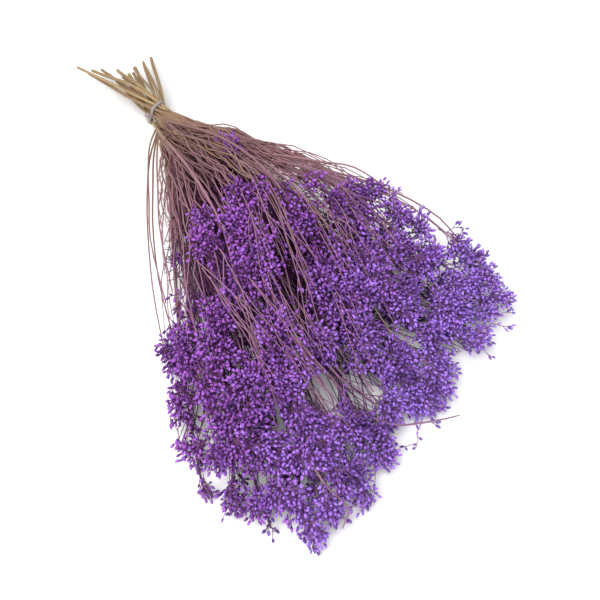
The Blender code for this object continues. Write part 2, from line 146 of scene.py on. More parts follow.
GOLDEN_ANGLE = 137.5
CLEARANCE = 0.0004
NEAR = 0.004
TRIES = 24
SEED = 11

# The finer lines
MAIN_STEPS = (8, 30)
FINE_STEPS = 13
LONG_STEPS = 14
FORK_STEPS = 8
LINE_WIGGLE = 0.0026
WIGGLE_SHARES = (0.4, 1.2)
WIGGLE_WAVE = 0.075
WAVE_SHARES = (0.6, 1.5)
LINE_RADII = (0.00085, 0.00028)
FORK_RADII = (0.00042, 0.00026)
LOOSE_RADII = (0.00080, 0.00044)
TWIG_RADII = (0.00030, 0.00024)
PEDICEL_RADII = (0.00025, 0.00021)
NECK_ROOTS = (0.02, 0.12)
NECK_STEP = 0.01
LEAST_SPAN_SHARE = 0.1
NECK_LINE_SHARE = 0.05
OVER_SHARE = 0.12
LINE_TAPER = 0.6
BRANCH_THINNING = (0.8, 0.5)
TUFTS_A_LINE = 6
FILLER_LINES = 120
RIGHT_FILLERS = 60
INNER_LINES = 230
INNER_OUTS = (0.15, 0.37)
INNER_DEPTHS = (0.014, 0.070)
INNER_ROOM = 0.012
INNER_FAN_SHARE = 0.92
FILLER_FANS = (-20.0, 24.5)
FILLER_OUTS = (0.10, 0.185)
FILLER_SIDE_OUT = 0.065
FILLER_DEPTHS = (0.001, 0.026)
LINE_RISE = 1.3
RISE_HEIGHT = 0.07
NO_PEDICEL = 0.4
OVER_PROUD = (-0.009, 0.002)
OVER_RISE = 0.28
OVER_SINK = 0.72
RIGHT_FAN = 11.0
RIGHT_LIFT = 0.0004
FORK_LENGTHS = (0.009, 0.130)
FORK_LEAST_TURN = 0.60
FORK_TURN_COST = 3.0
ARCHED_SHARE = 0.10
ARCH_HEIGHTS = (0.003, 0.012)
STRAW_SHARE = 0.05
STRAW_DYE = 0.3
LOOSE_DYE = 0.8
TWIG_DYE = 1.7
TWIG_BEND = 0.35
TWIG_THINNING = 0.8

# The clumps of buds on the head, chosen after the photograph: the fan angle and the distance from the
# neck of each one's middle, its half length along the fan, its half width across, and how many tufts it has
Clump = namedtuple("Clump", "fan out along aside tufts")
CLUMPS = (
    Clump(8.0, 0.120, 0.008, 0.005, 3),
    Clump(-4.0, 0.192, 0.010, 0.007, 5),
    Clump(0.0, 0.197, 0.006, 0.005, 3),
    Clump(-6.2, 0.234, 0.032, 0.012, 32),
    Clump(-8.5, 0.259, 0.010, 0.013, 10),
    Clump(5.0, 0.222, 0.020, 0.009, 13),
    Clump(2.4, 0.261, 0.009, 0.006, 5),
    Clump(4.0, 0.260, 0.018, 0.014, 16),
    Clump(7.5, 0.268, 0.012, 0.012, 10),
    Clump(5.0, 0.283, 0.012, 0.010, 8),
    Clump(5.0, 0.293, 0.010, 0.014, 4),
    Clump(8.3, 0.243, 0.006, 0.006, 3),
    Clump(-11.5, 0.195, 0.007, 0.006, 3),
    Clump(-12.5, 0.222, 0.009, 0.006, 4),
    Clump(11.0, 0.203, 0.004, 0.004, 1),
    Clump(17.0, 0.218, 0.010, 0.008, 6),
    Clump(21.5, 0.221, 0.006, 0.008, 5),
    Clump(22.8, 0.259, 0.006, 0.006, 4),
    Clump(12.5, 0.254, 0.010, 0.009, 9),
    Clump(17.5, 0.262, 0.009, 0.008, 6),
    Clump(11.5, 0.270, 0.012, 0.010, 10),
    Clump(18.5, 0.276, 0.007, 0.012, 6),
    Clump(14.0, 0.281, 0.007, 0.008, 5),
    Clump(12.5, 0.291, 0.008, 0.010, 5),
    Clump(22.0, 0.299, 0.009, 0.012, 9),
    Clump(25.3, 0.284, 0.009, 0.006, 6),
    Clump(26.2, 0.297, 0.008, 0.005, 6),
    Clump(24.8, 0.321, 0.006, 0.005, 5),
    Clump(20.9, 0.243, 0.008, 0.007, 6),
    Clump(21.2, 0.276, 0.008, 0.008, 7),
    Clump(15.0, 0.233, 0.012, 0.010, 9),
    Clump(12.3, 0.222, 0.009, 0.007, 6),
    Clump(10.7, 0.333, 0.008, 0.010, 9),
    Clump(0.4, 0.356, 0.006, 0.006, 5),
    Clump(-3.4, 0.371, 0.006, 0.005, 3),
    Clump(-19.8, 0.262, 0.011, 0.005, 7),
    Clump(-19.3, 0.292, 0.010, 0.004, 5),
    Clump(25.0, 0.307, 0.008, 0.008, 6),
    Clump(22.0, 0.319, 0.007, 0.008, 5),
    Clump(19.0, 0.301, 0.007, 0.014, 9),
    Clump(17.3, 0.308, 0.009, 0.018, 12),
    Clump(14.0, 0.309, 0.009, 0.010, 6),
    Clump(12.8, 0.323, 0.013, 0.008, 9),
    Clump(18.3, 0.327, 0.006, 0.010, 5),
    Clump(8.0, 0.311, 0.012, 0.012, 12),
    Clump(5.5, 0.312, 0.009, 0.006, 4),
    Clump(8.3, 0.334, 0.010, 0.013, 12),
    Clump(4.0, 0.331, 0.012, 0.009, 10),
    Clump(2.5, 0.306, 0.005, 0.005, 1),
    Clump(-1.0, 0.289, 0.012, 0.006, 6),
    Clump(-4.5, 0.307, 0.004, 0.005, 3),
    Clump(-6.5, 0.283, 0.011, 0.011, 12),
    Clump(-7.0, 0.298, 0.007, 0.012, 8),
    Clump(-13.0, 0.272, 0.008, 0.009, 8),
    Clump(-14.0, 0.286, 0.010, 0.011, 9),
    Clump(-17.5, 0.272, 0.013, 0.007, 9),
    Clump(-16.0, 0.299, 0.009, 0.007, 6),
    Clump(-11.5, 0.312, 0.014, 0.024, 26),
    Clump(-13.5, 0.323, 0.010, 0.015, 12),
    Clump(-7.8, 0.313, 0.010, 0.008, 8),
    Clump(-18.3, 0.320, 0.008, 0.006, 5),
    Clump(-15.0, 0.333, 0.009, 0.014, 10),
    Clump(-11.5, 0.341, 0.012, 0.017, 14),
    Clump(-7.0, 0.333, 0.011, 0.009, 9),
    Clump(-4.5, 0.326, 0.006, 0.011, 6),
    Clump(-2.5, 0.339, 0.008, 0.022, 16),
    Clump(0.0, 0.328, 0.007, 0.009, 6),
    Clump(1.3, 0.346, 0.010, 0.008, 6),
    Clump(-7.0, 0.351, 0.006, 0.020, 12),
    Clump(-15.2, 0.356, 0.008, 0.006, 5),
    Clump(-13.3, 0.366, 0.006, 0.005, 4),
    Clump(-11.3, 0.362, 0.008, 0.009, 8),
    Clump(-9.8, 0.371, 0.008, 0.008, 8),
    Clump(-9.2, 0.385, 0.008, 0.006, 6),
    Clump(-7.0, 0.376, 0.008, 0.008, 6),
    Clump(-5.3, 0.367, 0.007, 0.006, 4),
    Clump(-3.2, 0.361, 0.008, 0.007, 4),
)
CLUMP_DEPTHS = (-0.006, 0.001)
CLUMP_DOME = 0.50
CLUMP_DROP = 0.007
HIGHEST_TUFT = 0.103
CLUMP_EDGE = 0.003
LEAST_CLUMP = 0.001
TUFT_SIZES = (0.0046, 0.0064)
TUFT_AHEAD = 0.004
END_TUFT_SIZE = 0.0042
INSIDE_DYE = 1.6

# The dark furrow between the two clumps nearest to the neck, which holds no tufts
CHANNEL_FANS = (-3.0, 1.0)
CHANNEL_OUTS = (0.205, 0.275)

# Places where single buds hang at the ends of thin stalks, past the clumps: fan angle and distance
STRAY_BUDS_AT = (
    (-20.3, 0.283), (-20.4, 0.293), (-19.6, 0.296), (-20.1, 0.304), (-19.3, 0.309), (-4.9, 0.377),
    (-4.3, 0.379), (-3.7, 0.375), (-3.0, 0.372), (-1.7, 0.366), (5.2, 0.350), (4.2, 0.354), (3.2, 0.352),
    (7.6, 0.348), (25.8, 0.320), (24.3, 0.328), (23.1, 0.333), (18.2, 0.337), (24.0, 0.231), (23.2, 0.226),
)

# Loose strands: the fan angle, the distance from the neck and the height of each one's points
LOOSE_STRANDS = (
    ((-21.0, 0.018, 0.024), (-29.0, 0.042, 0.026), (-26.0, 0.078, 0.032), (-23.6, 0.120, 0.040),
     (-22.3, 0.168, 0.048), (-19.5, 0.230, 0.056)),
    ((-18.0, 0.020, 0.022), (-25.0, 0.050, 0.022), (-23.6, 0.090, 0.026), (-22.6, 0.140, 0.032),
     (-20.8, 0.200, 0.042), (-18.6, 0.260, 0.050)),
    ((-20.0, 0.020, 0.022), (-27.5, 0.055, 0.024), (-25.5, 0.100, 0.030), (-23.6, 0.150, 0.038),
     (-21.8, 0.210, 0.046), (-20.2, 0.262, 0.044)),
    ((-15.0, 0.022, 0.026), (-21.0, 0.060, 0.032), (-20.4, 0.110, 0.042), (-20.0, 0.160, 0.050),
     (-18.3, 0.225, 0.060)),
    ((16.0, 0.120, 0.058), (18.8, 0.178, 0.080), (20.6, 0.203, 0.086), (22.0, 0.226, 0.078),
     (23.0, 0.245, 0.064)),
    ((17.0, 0.110, 0.052), (20.0, 0.170, 0.068), (23.3, 0.220, 0.072), (25.9, 0.255, 0.060),
     (25.8, 0.275, 0.050), (26.6, 0.293, 0.036)),
    ((14.0, 0.150, 0.064), (19.0, 0.205, 0.078), (23.6, 0.246, 0.066), (25.2, 0.282, 0.046),
     (26.0, 0.316, 0.026)),
    ((0.5, 0.326, 0.024), (3.0, 0.339, 0.018), (5.2, 0.345, 0.016), (8.0, 0.351, 0.014), (9.8, 0.354, 0.012)),
    ((-7.5, 0.345, 0.040), (-6.6, 0.364, 0.030), (-5.2, 0.376, 0.018), (-6.2, 0.384, 0.012)),
)

# Thin forked strands that lie on the clumps
Veil = namedtuple("Veil", "strands fans starts turns lengths")
VEILS = (
    Veil(26, (-16.0, 21.0), (0.145, 0.255), (-14.0, 14.0), (0.045, 0.085)),
    Veil(10, (-15.0, -5.0), (0.235, 0.275), (12.0, 34.0), (0.055, 0.095)),
)
VEIL_PROUD = (0.003, 0.008)
VEIL_RADII = (0.00034, 0.00022)
VEIL_STEPS = 9
VEIL_TINT = 0.3
VEIL_FORKS = (2, 3)
VEIL_LEANS = (14.0, 34.0)
VEIL_FORK_STRAY = 25.0
VEIL_FORK_LENGTHS = (0.5, 1.0)
VEIL_FOOT = 0.15
VEIL_FORK_STEPS = 5
VEIL_FORK_SHARE = 0.55

GAP_STRANDS = 5
GAP_CROSSERS = 0.10
GAP_STRAND_STRAY = 0.006
GAP_STRAND_DEPTHS = (0.0, 0.012)
GAP_STRAND_FROM = (-7.5, 0.5, 0.296)
GAP_STRAND_TO = (-1.5, 4.0, 0.330)

# The tufts that the photograph doesn't show: on the far side of the head, and wider apart inside it
Shell = namedtuple("Shell", "depths start spacing size draws")
SHELLS = (
    Shell((0.010, 0.021), 0.200, 0.0158, 0.0056, 24000),
    Shell((0.026, 0.060), 0.190, 0.0195, 0.0068, 20000),
)
SHELL_SIZES = (0.8, 1.25)
HIDDEN_BEHIND = 0.018
LEFT_FAN = -12.0
LEFT_START = 0.24
MIDDLE_FAN = 2.0
MIDDLE_HEIGHT_SHARE = 0.35
OUTWARD_SHARE = 0.45
STRAY_SHARE = 0.20
LOWEST_TUFT = 0.006
CEILING_TOP = 0.100
GAP_TUFT_ROOM = 0.004

# A tuft of half width s has twigs of about s, with sprigs of a few buds on them
TUFT_STRETCH = 2.6
TWIGS_A_TUFT = (2.0, 750.0)
TWIG_LEANS = (15.0, 46.0)
TWIG_LENGTHS = (0.8, 1.3)
TWIG_PLACES = (0.1, 0.9)
SPRIGS_A_TWIG = 2
SPRIG_START = 0.30
SPRIG_SPAN = 0.62
MIDDLE_SHARES = (0.2, 0.8)
TUFT_TINTS = (0.2, 0.8)
BUD_TINT_STRAY = 0.3
LEAN_SHARES = (0.7, 1.3)
SPRIG_LEANS = (28.0, 60.0)
SPRIG_LENGTHS = (0.0022, 0.0048)
SPRIG_BUDS = ((1.0, 14.0), (0.75, 42.0), (0.40, 50.0))
PEDICEL_LENGTHS = (0.0010, 0.0030)
STRAY_TWIGS = 0.15
STRAY_BUDS = (2, 4)
STRAY_BUD_LEANS = (15.0, 50.0)
STRAY_BUD_TINTS = (0.3, 1.0)
STRAY_TINTS = (0.0, 0.7)
STRAY_BACK_SHARE = 0.6
STRAY_END_SHARE = 0.6
STRAY_SIDE_SHARE = 0.5
STRAY_SIDE_LEAN = 35.0
STRAY_THICKENING = 1.3
STRAY_STEP = 0.0022
STRAY_PLACES = (0.028, 0.090)
STRAY_LEANS = (16.0, 38.0)
STRAY_LENGTHS = (0.006, 0.013)
LEAST_TUFT_OUT = 0.17

BUD_SPACE = 0.0022
BUD_RADII = (0.00082, 0.00116)
BUD_HEIGHT = 1.70
BUD_SUNK = 0.0004
BUD_KINDS = (0, 1, 2, 2)

# The tie
BAND_AT = 0.002
BAND_SLANT = 0.30
BAND_HALF = 0.0013
BAND_RADIUS = 0.0007
CROSSING_SPAN = (0.5, 0.2)
CROSSING_STEPS = 40
TURN_STEPS = 32
KNOT_ANGLE = 165.0
KNOT_SIZE = np.array((0.0026, 0.0022, 0.0018))
KNOT_OUT = 0.0021
KNOT_RADIUS = 0.0008
KNOT_STEPS = 40
KNOT_END_WAYS = ((0.9, 0.5), (0.7, -0.9))
KNOT_END_LENGTH = 0.0060
KNOT_END_RADII = (0.0008, 0.0006)

# The finish, and the painted shade that darkens the stems, twigs and buds deep in the head
DRY_SHINE = 0.12
BUMP_DEPTH = 0.0002
# The depths under the head's surface over which the painted shade grows from none to full
PAINTED_SHADE_DEPTHS = (0.010, 0.032)
DYED_FROM = (0.012, 0.130)
DEEP_FROM = (0.10, 0.25)
COOL_FROM = (0.20, 0.40)
COOL_ASIDE = 0.8
DULL_TURNS = 7.3
PITH_DEPTHS = (0.0002, 0.0008)
FLOOR_CLOUD = (0.95, 0.95, 0.95)
STREAKS_ALONG = 60.0
STREAKS_APART = 40.0
GRAIN_SCALE = 1.6
STEM_BLOTCH_SCALE = 90.0
DYED_STRAY = 0.05
DEEP_STRAY = 0.06
PURPLE_COOL_SHARE = 0.5
DEEP_SHARE = 0.7
DARK_FROM = (0.35, 0.75)
DARK_SHARE = 0.35
# How far the painted shade darkens the dyed stems and twigs deep in the head
PAINTED_STEM_SHADE_SHARE = 0.8
PITH_SHARE = 0.6
STEM_ROUGH = (0.55, 0.30)
STEM_RELIEF = 0.35
BUD_BLOTCH_SCALE = 260.0
BUD_COOL_SHARE = 0.75
BUD_COOL_STRAY = 0.5
LEVEL_STRAY = 0.35
MIDDLE_FROM = (0.10, 0.50)
TIP_FROM = (0.74, 1.12)
DULL_FROM = (0.35, 0.95)
DULL_SHARE = 0.55
CLOUD_SCALE = 42.0
CLOUD_FROM = (0.50, 0.66)
CLOUD_SHARE = 0.45
# How far the painted shade darkens the buds deep in the head
PAINTED_BUD_SHADE_SHARE = 0.85
FINE_SCALE = 1500.0
BUD_ROUGH = (0.50, 0.25)
BUD_RELIEF = 0.3
TIE_CLOUD_SCALE = 700.0
TIE_ROUGH = (0.25, 0.25)
TIE_RELIEF = 0.2
TIE_IOR = 1.5
FLOOR_GRAIN_SCALE = 40.0
FLOOR_GRAIN_SHARE = 0.3
FLOOR_ROUGH = 0.9

# The stage
CAMERA_TURN = 62.5
CAMERA_HEIGHT = 50.0
CAMERA_FIELD = 36.0
CAMERA_FROM_NECK = np.array((0.5815, -0.1726, 0.4735))
HEAD_MIDDLE = (0.08, -0.02, 0.04)
KEY_PLACE = (0.5, -0.6, 1.3)
KEY_SIZE = 1.2
FLOOR_SIZE = 4.0

UP = np.array((0.0, 0.0, 1.0))
CAD_CORNERS = np.array([list(corner) for corner in CAD_BOX])
BOX_ROOM = 0.03 * (CAD_CORNERS[1] - CAD_CORNERS[0]) + 0.007
LOW_CORNER = CAD_CORNERS[0] - BOX_ROOM * (1, 1, 0)
HIGH_CORNER = CAD_CORNERS[1] + BOX_ROOM
ALMOST_NOTHING = 1e-20

Strand = namedtuple("Strand", "points radii")
Line = namedtuple("Line", "points radii dye tint grade")
Bud = namedtuple("Bud", "place aim size tint")


# Lines and curves

def unit(vectors):
    return vectors / np.linalg.norm(vectors, axis=-1, keepdims=True)


def across(direction):
    """The two unit vectors square to a direction: one level, the other as near up as it gets."""
    side = unit(np.cross(UP, direction))
    return side, unit(np.cross(direction, side))


def hermite(start, start_slope, end, end_slope, span, t):
    """A cubic from start to end over a span, with the given slopes at its ends."""
    rise = 3 * t**2 - 2 * t**3
    return (
        (1 - rise) * start
        + rise * end
        + (t**3 - 2 * t**2 + t) * span * start_slope
        + (t**3 - t**2) * span * end_slope
    )


def ahead_and_aside(angle, length=1.0):
    """How far a line of this length goes ahead and aside at an angle in degrees."""
    return length * math.cos(math.radians(angle)), length * math.sin(math.radians(angle))


def nearest(p1, q1, p2, q2):
    """The distance between each of one set of straight pieces and each of another."""
    p1, q1 = p1[:, None, :], q1[:, None, :]
    p2, q2 = p2[None, :, :], q2[None, :, :]
    d1, d2, r = q1 - p1, q2 - p2, p1 - p2
    a = (d1 * d1).sum(-1)
    e = (d2 * d2).sum(-1)
    b = (d1 * d2).sum(-1)
    c = (d1 * r).sum(-1)
    f = (d2 * r).sum(-1)
    spread = a * e - b * b
    crossing = np.clip((b * f - c * e) / np.maximum(spread, ALMOST_NOTHING), 0, 1)
    s = np.where(spread > ALMOST_NOTHING, crossing, 0.0)
    t = np.clip((b * s + f) / np.maximum(e, ALMOST_NOTHING), 0, 1)
    s = np.clip((b * t - c) / np.maximum(a, ALMOST_NOTHING), 0, 1)
    return np.linalg.norm(p1 + d1 * s[..., None] - p2 - d2 * t[..., None], axis=-1)


def leant(heading, lean, turn):
    """A heading leant over by an angle, towards a turn about it, both in degrees."""
    side, rise = across(heading)
    level, up = ahead_and_aside(turn)
    forward, outward = ahead_and_aside(lean)
    return unit(heading * forward + (side * level + rise * up) * outward)


# The outline of the head

def reach_at(fan):
    """How far the flower tips reach from the neck: furthest left of the middle, shorter at the left edge."""
    bulge = HEAD_BULGE * math.exp(-(((fan - BULGE_FAN) / BULGE_WIDTH) ** 2))
    loss = SHORT_LOSS * max(0.0, SHORT_FAN - fan) ** 2
    return HEAD_REACH + bulge - loss


def ceiling_at(fan, out):
    """The height of the head's top, which rises from the neck and falls to the tips."""
    rising = NECK[2] + (RISING_SLOPE - RISING_LOSS * abs(fan)) * out
    falling = EDGE_HEIGHT + FALLING_SLOPE * (reach_at(fan) - out)
    return min(rising, falling)


def head_top(fan, out):
    """The height that the clumps reach, which is flat where the ceiling is at its highest."""
    return min(HIGHEST_TUFT, ceiling_at(fan, out))


def fan_and_out(point):
    x, y = (point - NECK)[:2]
    return math.degrees(math.atan2(y, x)), math.hypot(x, y)


def in_channel(point):
    """True in the dark furrow between the two clumps nearest to the neck."""
    fan, out = fan_and_out(point)
    return CHANNEL_FANS[0] < fan < CHANNEL_FANS[1] and CHANNEL_OUTS[0] < out < CHANNEL_OUTS[1]


def beside_gap(points):
    """The same line, bent round the space that stays free of buds."""
    lean = unit(GAP_LEAN)
    bent = np.array(points)
    for foot in GAP_FEET:
        from_foot = bent[1:-1] - NECK - foot
        off = from_foot - (from_foot @ lean)[:, None] * lean
        away = np.linalg.norm(off, axis=1)[:, None]
        bent[1:-1] += off / (away + ALMOST_NOTHING) * np.maximum(0.0, GAP_RADIUS - away)
    return bent


def in_head(points):
    """True where all these points lie inside the head."""
    for point in points:
        fan, out = fan_and_out(point)
        if not HEAD_FAN[0] < fan < HEAD_FAN[1] or out >= reach_at(fan):
            return False
        if point[2] >= ceiling_at(fan, out):
            return False
    return True


def in_gap(point, room=0.0):
    """True in the slanting space that stays free of buds."""
    lean = unit(GAP_LEAN)
    for foot in GAP_FEET:
        from_foot = point - NECK - foot
        if np.linalg.norm(from_foot - lean * (from_foot @ lean)) < GAP_RADIUS + room:
            return True
    return False


# The main stems and their side branches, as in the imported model

class Stem:
    """One main stem, from its cut end through the neck to its tip."""

    def __init__(self, number, layer, fan, rng):
        self.number = number
        self.name = f"stem_{number:02d}"
        self.on_floor = layer is LAYERS[0]
        self.fan = fan
        reach = layer.reach_share * reach_at(fan) * (1 + rng.uniform(-REACH_JITTER, REACH_JITTER))
        self.radius = rng.uniform(*STEM_RADII)
        wide = abs(fan) / TAIL_WIDE_FAN
        tail = TAIL_LENGTH + TAIL_WIDE_EXTRA * wide + rng.uniform(-TAIL_JITTER, TAIL_JITTER)
        self.tip_height = layer.tip_height
        if not self.on_floor:
            self.tip_height += rng.uniform(-HEIGHT_JITTER, HEIGHT_JITTER)
        self.tip_slope = layer.tip_slope
        self.turn = rng.uniform(0, 360)
        self.neck = np.zeros(2)
        self.span, self.tip_side = ahead_and_aside(fan, reach - TIP_ROOM)
        turn = math.tan(math.radians(fan))
        self.side_slope = NECK_FAN_SHARE * turn
        self.tip_side_slope = TIP_FAN_SHARE * turn
        self.tail_side_slope = TAIL_FAN_SHARE * turn
        self.tail_span = tail * math.cos(math.atan(self.tail_side_slope))
        rise_span = self.span * (TOUCHDOWN if self.on_floor else 1)
        self.up_slope = RISE_SHARE * (self.tip_height - NECK[2]) / rise_span

    def radius_at(self, t):
        """The radius at share t of the span in front of the neck. A negative t is behind the neck."""
        return STEM_TIP_RADIUS + (self.radius - STEM_TIP_RADIUS) * np.clip(1 - t, 0, 1) ** STEM_TAPER

    def front(self, t):
        """Points in front of the neck, at shares t of the span."""
        t = np.asarray(t, float)
        y = hermite(self.neck[0], self.side_slope, self.tip_side, self.tip_side_slope, self.span, t)
        start = NECK[2] + self.neck[1]
        if self.on_floor:
            lying = self.radius_at(t) * math.cos(math.pi / STEM_SIDES)
            u = np.clip(t / TOUCHDOWN, 0, 1)
            z = lying + hermite(start - lying, self.up_slope, 0.0, 0.0, self.span * TOUCHDOWN, u)
        else:
            z = hermite(start, self.up_slope, self.tip_height, self.tip_slope, self.span, t)
        return np.stack([NECK[0] + self.span * t, NECK[1] + y, z], -1)

    def behind(self, t):
        """Points behind the neck, at shares t of the tail."""
        t = np.asarray(t, float)
        length = self.tail_span
        end_y = self.neck[0] - self.tail_side_slope * length
        end_z = max(self.radius * TAIL_LEAST_RADII, TAIL_TIP_HEIGHT + TAIL_TIP_SHARE * self.neck[1]) - NECK[2]
        drop = (end_z - self.neck[1]) / length
        y = hermite(self.neck[0], -self.side_slope, end_y, -self.tail_side_slope, length, t)
        z = hermite(self.neck[1], -self.up_slope, end_z, drop, length, t)
        return np.stack([NECK[0] - length * t, NECK[1] + y, NECK[2] + z], -1)

    def crossings(self, stations):
        """Where the stem crosses planes square to X, as Y and Z, at distances in front of the neck."""
        ahead = self.front(np.clip(stations / self.span, 0, 1))
        back = self.behind(np.clip(-stations / self.tail_span, 0, NECK_TAIL_SHARE))
        return np.where(stations[:, None] > 0, ahead, back)[:, 1:]

    def route(self, tail_steps, front_steps):
        """The whole stem's points and radii, from the cut end to the tip."""
        back = np.linspace(1, 0, tail_steps + 1)[:-1]
        ahead = np.linspace(0, 1, front_steps + 1)
        points = np.concatenate([self.behind(back), self.front(ahead)])
        radii = np.concatenate([self.radius_at(-back), self.radius_at(ahead)])
        return points, radii


def make_stems():
    rng = random.Random(SEED)
    stems = []
    for layer in LAYERS:
        for middle in layer.fans:
            fan = middle + rng.uniform(-FAN_JITTER, FAN_JITTER)
            stems.append(Stem(len(stems) + 1, layer, fan, rng))
    slopes = np.array([(-stem.up_slope, stem.side_slope) for stem in stems])
    for stem, slope in zip(stems, slopes - slopes.mean(0)):
        stem.neck = NECK_TWIST * slope
    for _ in range(NECK_ROUNDS):
        ease_apart(stems)
    return stems


def ease_apart(stems):
    """Moves each pair of stems that is too close apart in the neck, and all of them a little together."""
    places = np.array([stem.crossings(NECK_STATIONS) for stem in stems])
    radii = np.array([stem.radius_at(NECK_STATIONS / stem.span) for stem in stems])
    apart = places[:, None] - places[None]
    distance = np.linalg.norm(apart, axis=-1)
    lack = NECK_SLANT_ROOM * (radii[:, None] + radii[None]) + NECK_GAP - distance
    lack[np.arange(len(stems)), np.arange(len(stems))] = -1
    worst = lack.argmax(-1)
    i, j = np.nonzero(lack.max(-1) > 0)
    k = worst[i, j]
    push = apart[i, j, k] / distance[i, j, k][:, None] * lack[i, j, k][:, None]
    moves = np.zeros((len(stems), 2))
    np.add.at(moves, i, 0.5 * push)
    for stem, move in zip(stems, moves):
        stem.neck = stem.neck * NECK_PULL + move


def branch(stem, kind, start, end, spread, turn, steps):
    """A strand that leaves its stem at share start, bends back beside it and ends at share end."""
    u = np.linspace(0, 1, steps + 1)
    base = stem.front(start + (end - start) * u)
    side, rise = across(unit(base[-1] - base[0]))
    level, up = ahead_and_aside(turn)
    away = side * level + rise * up
    if stem.on_floor:
        away[2] = abs(away[2])
    points = base + (spread * (1 - (1 - u) ** BRANCH_BEND))[:, None] * away
    points[:, 2] -= BRANCH_DROOP * u**2
    first, last = kind.radii
    radii = first + (last - first) * u
    points[1:, 2] = np.maximum(points[1:, 2], radii[1:])
    return Strand(points, radii)


def is_clear(strand, strands, own):
    """True where a strand keeps clear of those of every other stem."""
    starts, ends = strand.points[:-1], strand.points[1:]
    low = np.minimum(starts, ends).min(0) - NEAR
    high = np.maximum(starts, ends).max(0) + NEAR
    for number, others in strands.items():
        if number == own:
            continue
        other_starts = np.concatenate([other.points[:-1] for other in others])
        other_ends = np.concatenate([other.points[1:] for other in others])
        other_radii = np.concatenate([other.radii[:-1] for other in others])
        near = (np.maximum(other_starts, other_ends) > low).all(1)
        near &= (np.minimum(other_starts, other_ends) < high).all(1)
        room = nearest(starts, ends, other_starts[near], other_ends[near])
        room = room - strand.radii[:-1, None] - other_radii[near][None]
        if (room < CLEARANCE).any():
            return False
    return True


def add_branch(stem, strands, finer, kind, turn, rng):
    """Tries places round the stem for a branch of this kind until one is clear."""
    for attempt in range(TRIES):
        start = kind.start + rng.uniform(-BRANCH_END_JITTER, BRANCH_END_JITTER)
        end = kind.end + rng.uniform(-BRANCH_END_JITTER, BRANCH_END_JITTER)
        spread = kind.spread * rng.uniform(*BRANCH_SPREADS)
        at = turn + attempt * GOLDEN_ANGLE + rng.uniform(-BRANCH_TURN_JITTER, BRANCH_TURN_JITTER)
        strand = branch(stem, kind, start, end, spread, at, kind.steps)
        if in_head(strand.points[1:]) and is_clear(strand, strands, stem.number):
            strands[stem.number].append(strand)
            finer[stem.number].append(branch(stem, kind, start, end, spread, at, FINE_STEPS))
            return


def make_strands(stems):
    """Every stem's side branches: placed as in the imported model, and given with more points."""
    strands = {stem.number: [Strand(*stem.route(2, 7))] for stem in stems}
    finer = {stem.number: [] for stem in stems}
    rngs = [random.Random(SEED * 1000 + stem.number) for stem in stems]
    for number, kind in enumerate(KINDS):
        for stem, rng in zip(stems, rngs):
            add_branch(stem, strands, finer, kind, stem.turn + number * GOLDEN_ANGLE, rng)
    return finer


# The head from inside

def place_in_head(fan, out, height):
    ahead, aside = ahead_and_aside(fan, out)
    return np.array((NECK[0] + ahead, NECK[1] + aside, height))


def depth_of(point):
    """How deep a point lies under the nearest side, tip or top of the head."""
    fan, out = fan_and_out(point)
    left = out * math.radians(fan - HEAD_FAN[0])
    right = out * math.radians(HEAD_FAN[1] - fan)
    return min(left, right, reach_at(fan) - out, ceiling_at(fan, out) - point[2])


def heading_at(point, rng):
    """The way a tuft faces: on from the neck, and out of the head."""
    out = fan_and_out(point)[1]
    middle = place_in_head(MIDDLE_FAN, out, MIDDLE_HEIGHT_SHARE * ceiling_at(MIDDLE_FAN, out))
    stray = np.array([rng.uniform(-1, 1) for _ in range(3)])
    return unit(unit(point - NECK) + OUTWARD_SHARE * unit(point - middle) + STRAY_SHARE * stray)


def painted_shade_share(point):
    """How much painted shade a point gets: 0 at the outside of the head, and 1 well inside it."""
    return float(np.interp(depth_of(point), PAINTED_SHADE_DEPTHS, (0.0, 1.0)))


class Room:
    """The places that buds have taken, kept in cubes so that the near ones are found at once."""

    def __init__(self, space):
        self.space = space
        self.cubes = {}

    def take(self, point):
        """Takes a place if no other is nearer than the space, and says whether it did."""
        x, y, z = (math.floor(value / self.space) for value in point)
        for key in itertools.product((x - 1, x, x + 1), (y - 1, y, y + 1), (z - 1, z, z + 1)):
            for other in self.cubes.get(key, ()):
                if math.dist(point, other) < self.space:
                    return False
        self.cubes.setdefault((x, y, z), []).append(tuple(point))
        return True


# Growing the finer lines

def bowed(start, way, end, end_way, steps):
    """A smooth curve between two points, with the ways it sets out and arrives in."""
    t = np.linspace(0, 1, steps + 1)[:, None]
    return hermite(start, way, end, end_way, math.dist(start, end), t)


def wiggled(points, amount, rng):
    """The same curve with slow bends to its sides, which fade out at its ends."""
    steps = np.linalg.norm(np.diff(points, axis=0), axis=1)
    along = np.concatenate(((0.0,), steps.cumsum()))
    fade = np.abs(np.sin(math.pi * along / along[-1])) ** 0.5
    for way in across(unit(points[-1] - points[0])):
        wave = WIGGLE_WAVE * rng.uniform(*WAVE_SHARES)
        sway = np.sin(2 * math.pi * along / wave + rng.uniform(0, 2 * math.pi))
        points = points + (amount * rng.uniform(*WIGGLE_SHARES) * fade * sway)[:, None] * way
    return points


def tapered(radii, count, power=1.0):
    first, last = radii
    return first + (last - first) * np.linspace(0, 1, count) ** power


def ways_along(points):
    """The direction of a line at each of its points."""
    return unit(np.gradient(points, axis=0))


def at_from_end(points, distance):
    """The point at this distance before a line's end, and the line's direction there."""
    for k in range(len(points) - 1, 0, -1):
        step = points[k] - points[k - 1]
        length = math.sqrt(step @ step)
        if length >= distance or k == 1:
            share = min(1.0, distance / length)
            return points[k] - step * share, step / length
        distance -= length


